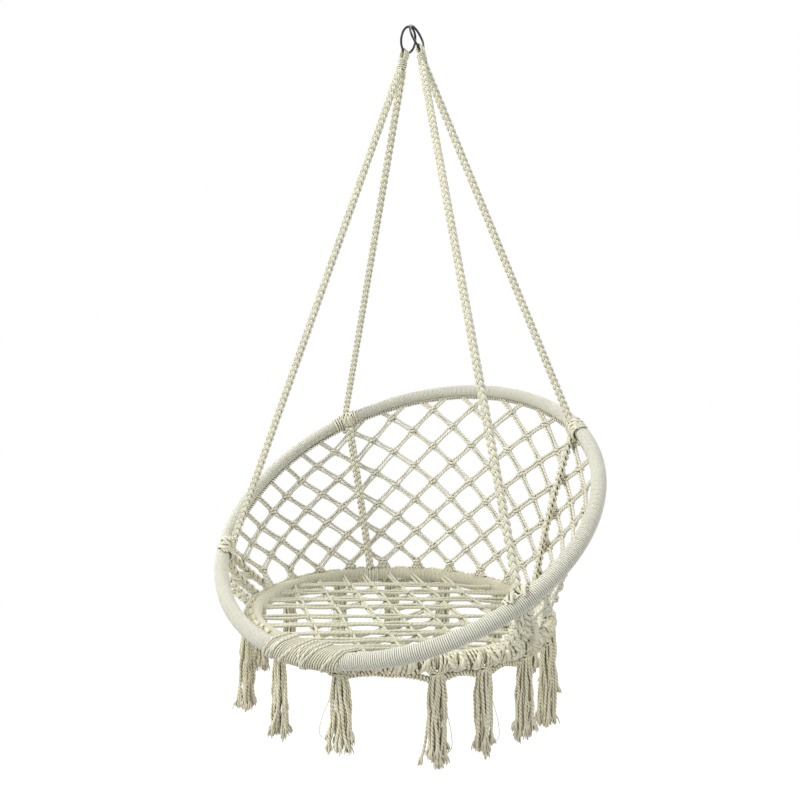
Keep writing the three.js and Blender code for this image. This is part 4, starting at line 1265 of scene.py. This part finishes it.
# Festoons
# A knotted garland round the outside of the seat hoop: cords fan in from the hoop to each tassel, rows
# of hitches and fat loose loops cover the hoop between them, and a hitched bar runs underneath.
BAR_CORD = 4.8
BAR_REACH = 3.6
BAR_PITCH = 5.8
BAR_NEAR = (0, 18, 42)
BAR_LIFT = (-25, -20.5, -17.6)
BAR_OUT = (12, 9, 6)
BAR_CLEAR = 7
BAR_STRAY = 0.9
BAR_STEP = 4
BAR_STEPS_LEAST = 12
FAN_PLACES = (-27, -20.5, -14, -7.5, 7.5, 14, 20.5, 27)
FAN_ROUTE = ((1, 75, 14.6), (0.95, 35, 16.6), (0.8, 0, 17.4), (0.55, -30, 18))
FAN_FOOT_SHARE = 0.22
FAN_FOOT_REACH = 15
FAN_FOOT_DROP = 17
FAN_CORD = 4.9
FAN_CLEAR = 24
FAN_STEPS = 24
HITCHING_STEP = 6.8
HITCHING_CORD = 6.2
HITCHING_LEAN = 20
HITCHING_STEPS = 18
HITCHING_TOPS = (35, 75)
HITCHING_FOOT = -100
HITCHING_REACH_ENDS = (14, 14.6)
HITCHING_REACH = 16.4
HITCHING_REACH_STRAY = (-0.6, 1.6)
LOOP_DIAMETERS = (4, 8.5, 12, 12.5, 9.5, 4)
LOOP_STEP = 23
LOOP_POINTS = 18
LOOP_PITCH = 45
LOOP_LEANS = (12, 26)
LOOP_TOPS = (40, 70)
LOOP_FEET = (-75, -50)
LOOP_REACHES = (15, 17.5, 18.6, 17.5, 15.5)
LOOP_LIGHT = (0.93, 0.90, 0.74, 1)
# The loops' finish has a dark painted shade for their grooves and creases.
LOOP_FINISH = cord_finish("unspun_cotton", LOOP_LIGHT, (0.20, 0.16, 0.07, 1), 3, LOOP_PITCH, 0.6)
TOUCHING_TURN = math.radians(18)
LOOP_TOUCHING_TURN = 1.4 * TOUCHING_TURN


def garland_bar(start, end, rng):
    """The hitched bar under the hoop, from one tassel to the next."""
    inset = BAR_CLEAR / SEAT_RADIUS
    length = (end - start - 2 * inset) * SEAT_RADIUS
    count = max(BAR_STEPS_LEAST, int(length / BAR_STEP))
    share = np.linspace(0, 1, count)
    near = np.minimum(share, 1 - share) * length
    lift = np.interp(near, BAR_NEAR, BAR_LIFT) + drift(rng, BAR_STRAY, 6, count)
    angle = start + inset + share * (end - start - 2 * inset)
    core = seat_hoop.at(angle, np.interp(near, BAR_NEAR, BAR_OUT), lift)
    hitched = coil(core, (0, 0, 1), BAR_REACH, BAR_REACH, BAR_PITCH, steps=10, rough=0.7, seed=9)
    return [(hitched, BAR_CORD, False), (core, 2 * BAR_REACH - 1, False)]


def fan_lines(angle, rng):
    """The cords that come down from the hoop and meet at a tassel."""
    lines = []
    for place in FAN_PLACES:
        path = []
        for share, turn, reach in FAN_ROUTE:
            spot = angle + place * share / SEAT_RADIUS
            side = math.radians(turn)
            path.append(seat_hoop.at(spot, reach * math.cos(side), reach * math.sin(side)))
        foot = angle + place * FAN_FOOT_SHARE / SEAT_RADIUS
        path.append(seat_hoop.at(foot, FAN_FOOT_REACH + rng.uniform(-1, 1), -FAN_FOOT_DROP))
        lines.append((smooth_path(path, FAN_STEPS), FAN_CORD + rng.uniform(-0.4, 0.6), False))
    return lines


def hitching_lines(start, end, rng):
    """Rows of hitches over the outside of the hoop."""
    lines = []
    for angle in np.arange(start, end, HITCHING_STEP / SEAT_RADIUS):
        if abs(angle - HOOP_FRONT) < TOUCHING_TURN:
            continue
        lean = rng.choice((-1, 1)) * rng.uniform(0.25, 1) * HITCHING_LEAN
        top = rng.uniform(*HITCHING_TOPS)
        reach = HITCHING_REACH + rng.uniform(*HITCHING_REACH_STRAY)
        first, last = HITCHING_REACH_ENDS
        reaches = (first, reach, reach + 0.4, reach, last)
        arc = over_hoop(seat_hoop, angle, lean, top, HITCHING_FOOT, reaches, HITCHING_STEPS)
        lines.append((arc, HITCHING_CORD * rng.uniform(0.8, 1.3), False))
    return lines


def loop_lines(start, end, rng):
    """Fat loose loops of unspun cord that bulge out over the hitches."""
    lines = []
    for angle in np.arange(start, end, LOOP_STEP / SEAT_RADIUS):
        if abs(angle - HOOP_FRONT) < LOOP_TOUCHING_TURN:
            continue
        place = angle + rng.uniform(0.1, 0.6) * LOOP_STEP / SEAT_RADIUS
        lean = rng.choice((-1, 1)) * rng.uniform(*LOOP_LEANS)
        top, foot = rng.uniform(*LOOP_TOPS), rng.uniform(*LOOP_FEET)
        loop = over_hoop(seat_hoop, place, lean, top, foot, LOOP_REACHES, LOOP_POINTS)
        lines.append((loop, spread_over(LOOP_DIAMETERS, LOOP_POINTS) * rng.uniform(0.7, 1), False))
    return lines


def add_festoons():
    rng = np.random.default_rng(14)
    places = [math.radians(degrees) for degrees in TASSEL_TURNS]
    cords, loops = [], []
    beside = FAN_CLEAR / SEAT_RADIUS
    for start, end in zip(places, places[1:] + [places[0] + 2 * math.pi]):
        cords += garland_bar(start, end, rng)
        cords += hitching_lines(start + beside, end - beside, rng)
        loops += loop_lines(start + beside / 2, end - beside / 2, rng)
    for degrees, angle in zip(TASSEL_TURNS, places):
        if abs(degrees - FRONT_DEGREES) > VALLEY_TURN:
            cords += fan_lines(angle, rng)
    festoon = make_cords("festoon_cords", cords, TASSEL_FINISH, STRAND_PITCH)
    finish_piece(festoon, "chair", None)
    bulges = make_cords("festoon_loops", loops, LOOP_FINISH, LOOP_PITCH, 10, 3)
    finish_piece(bulges, "chair", None)


add_festoons()
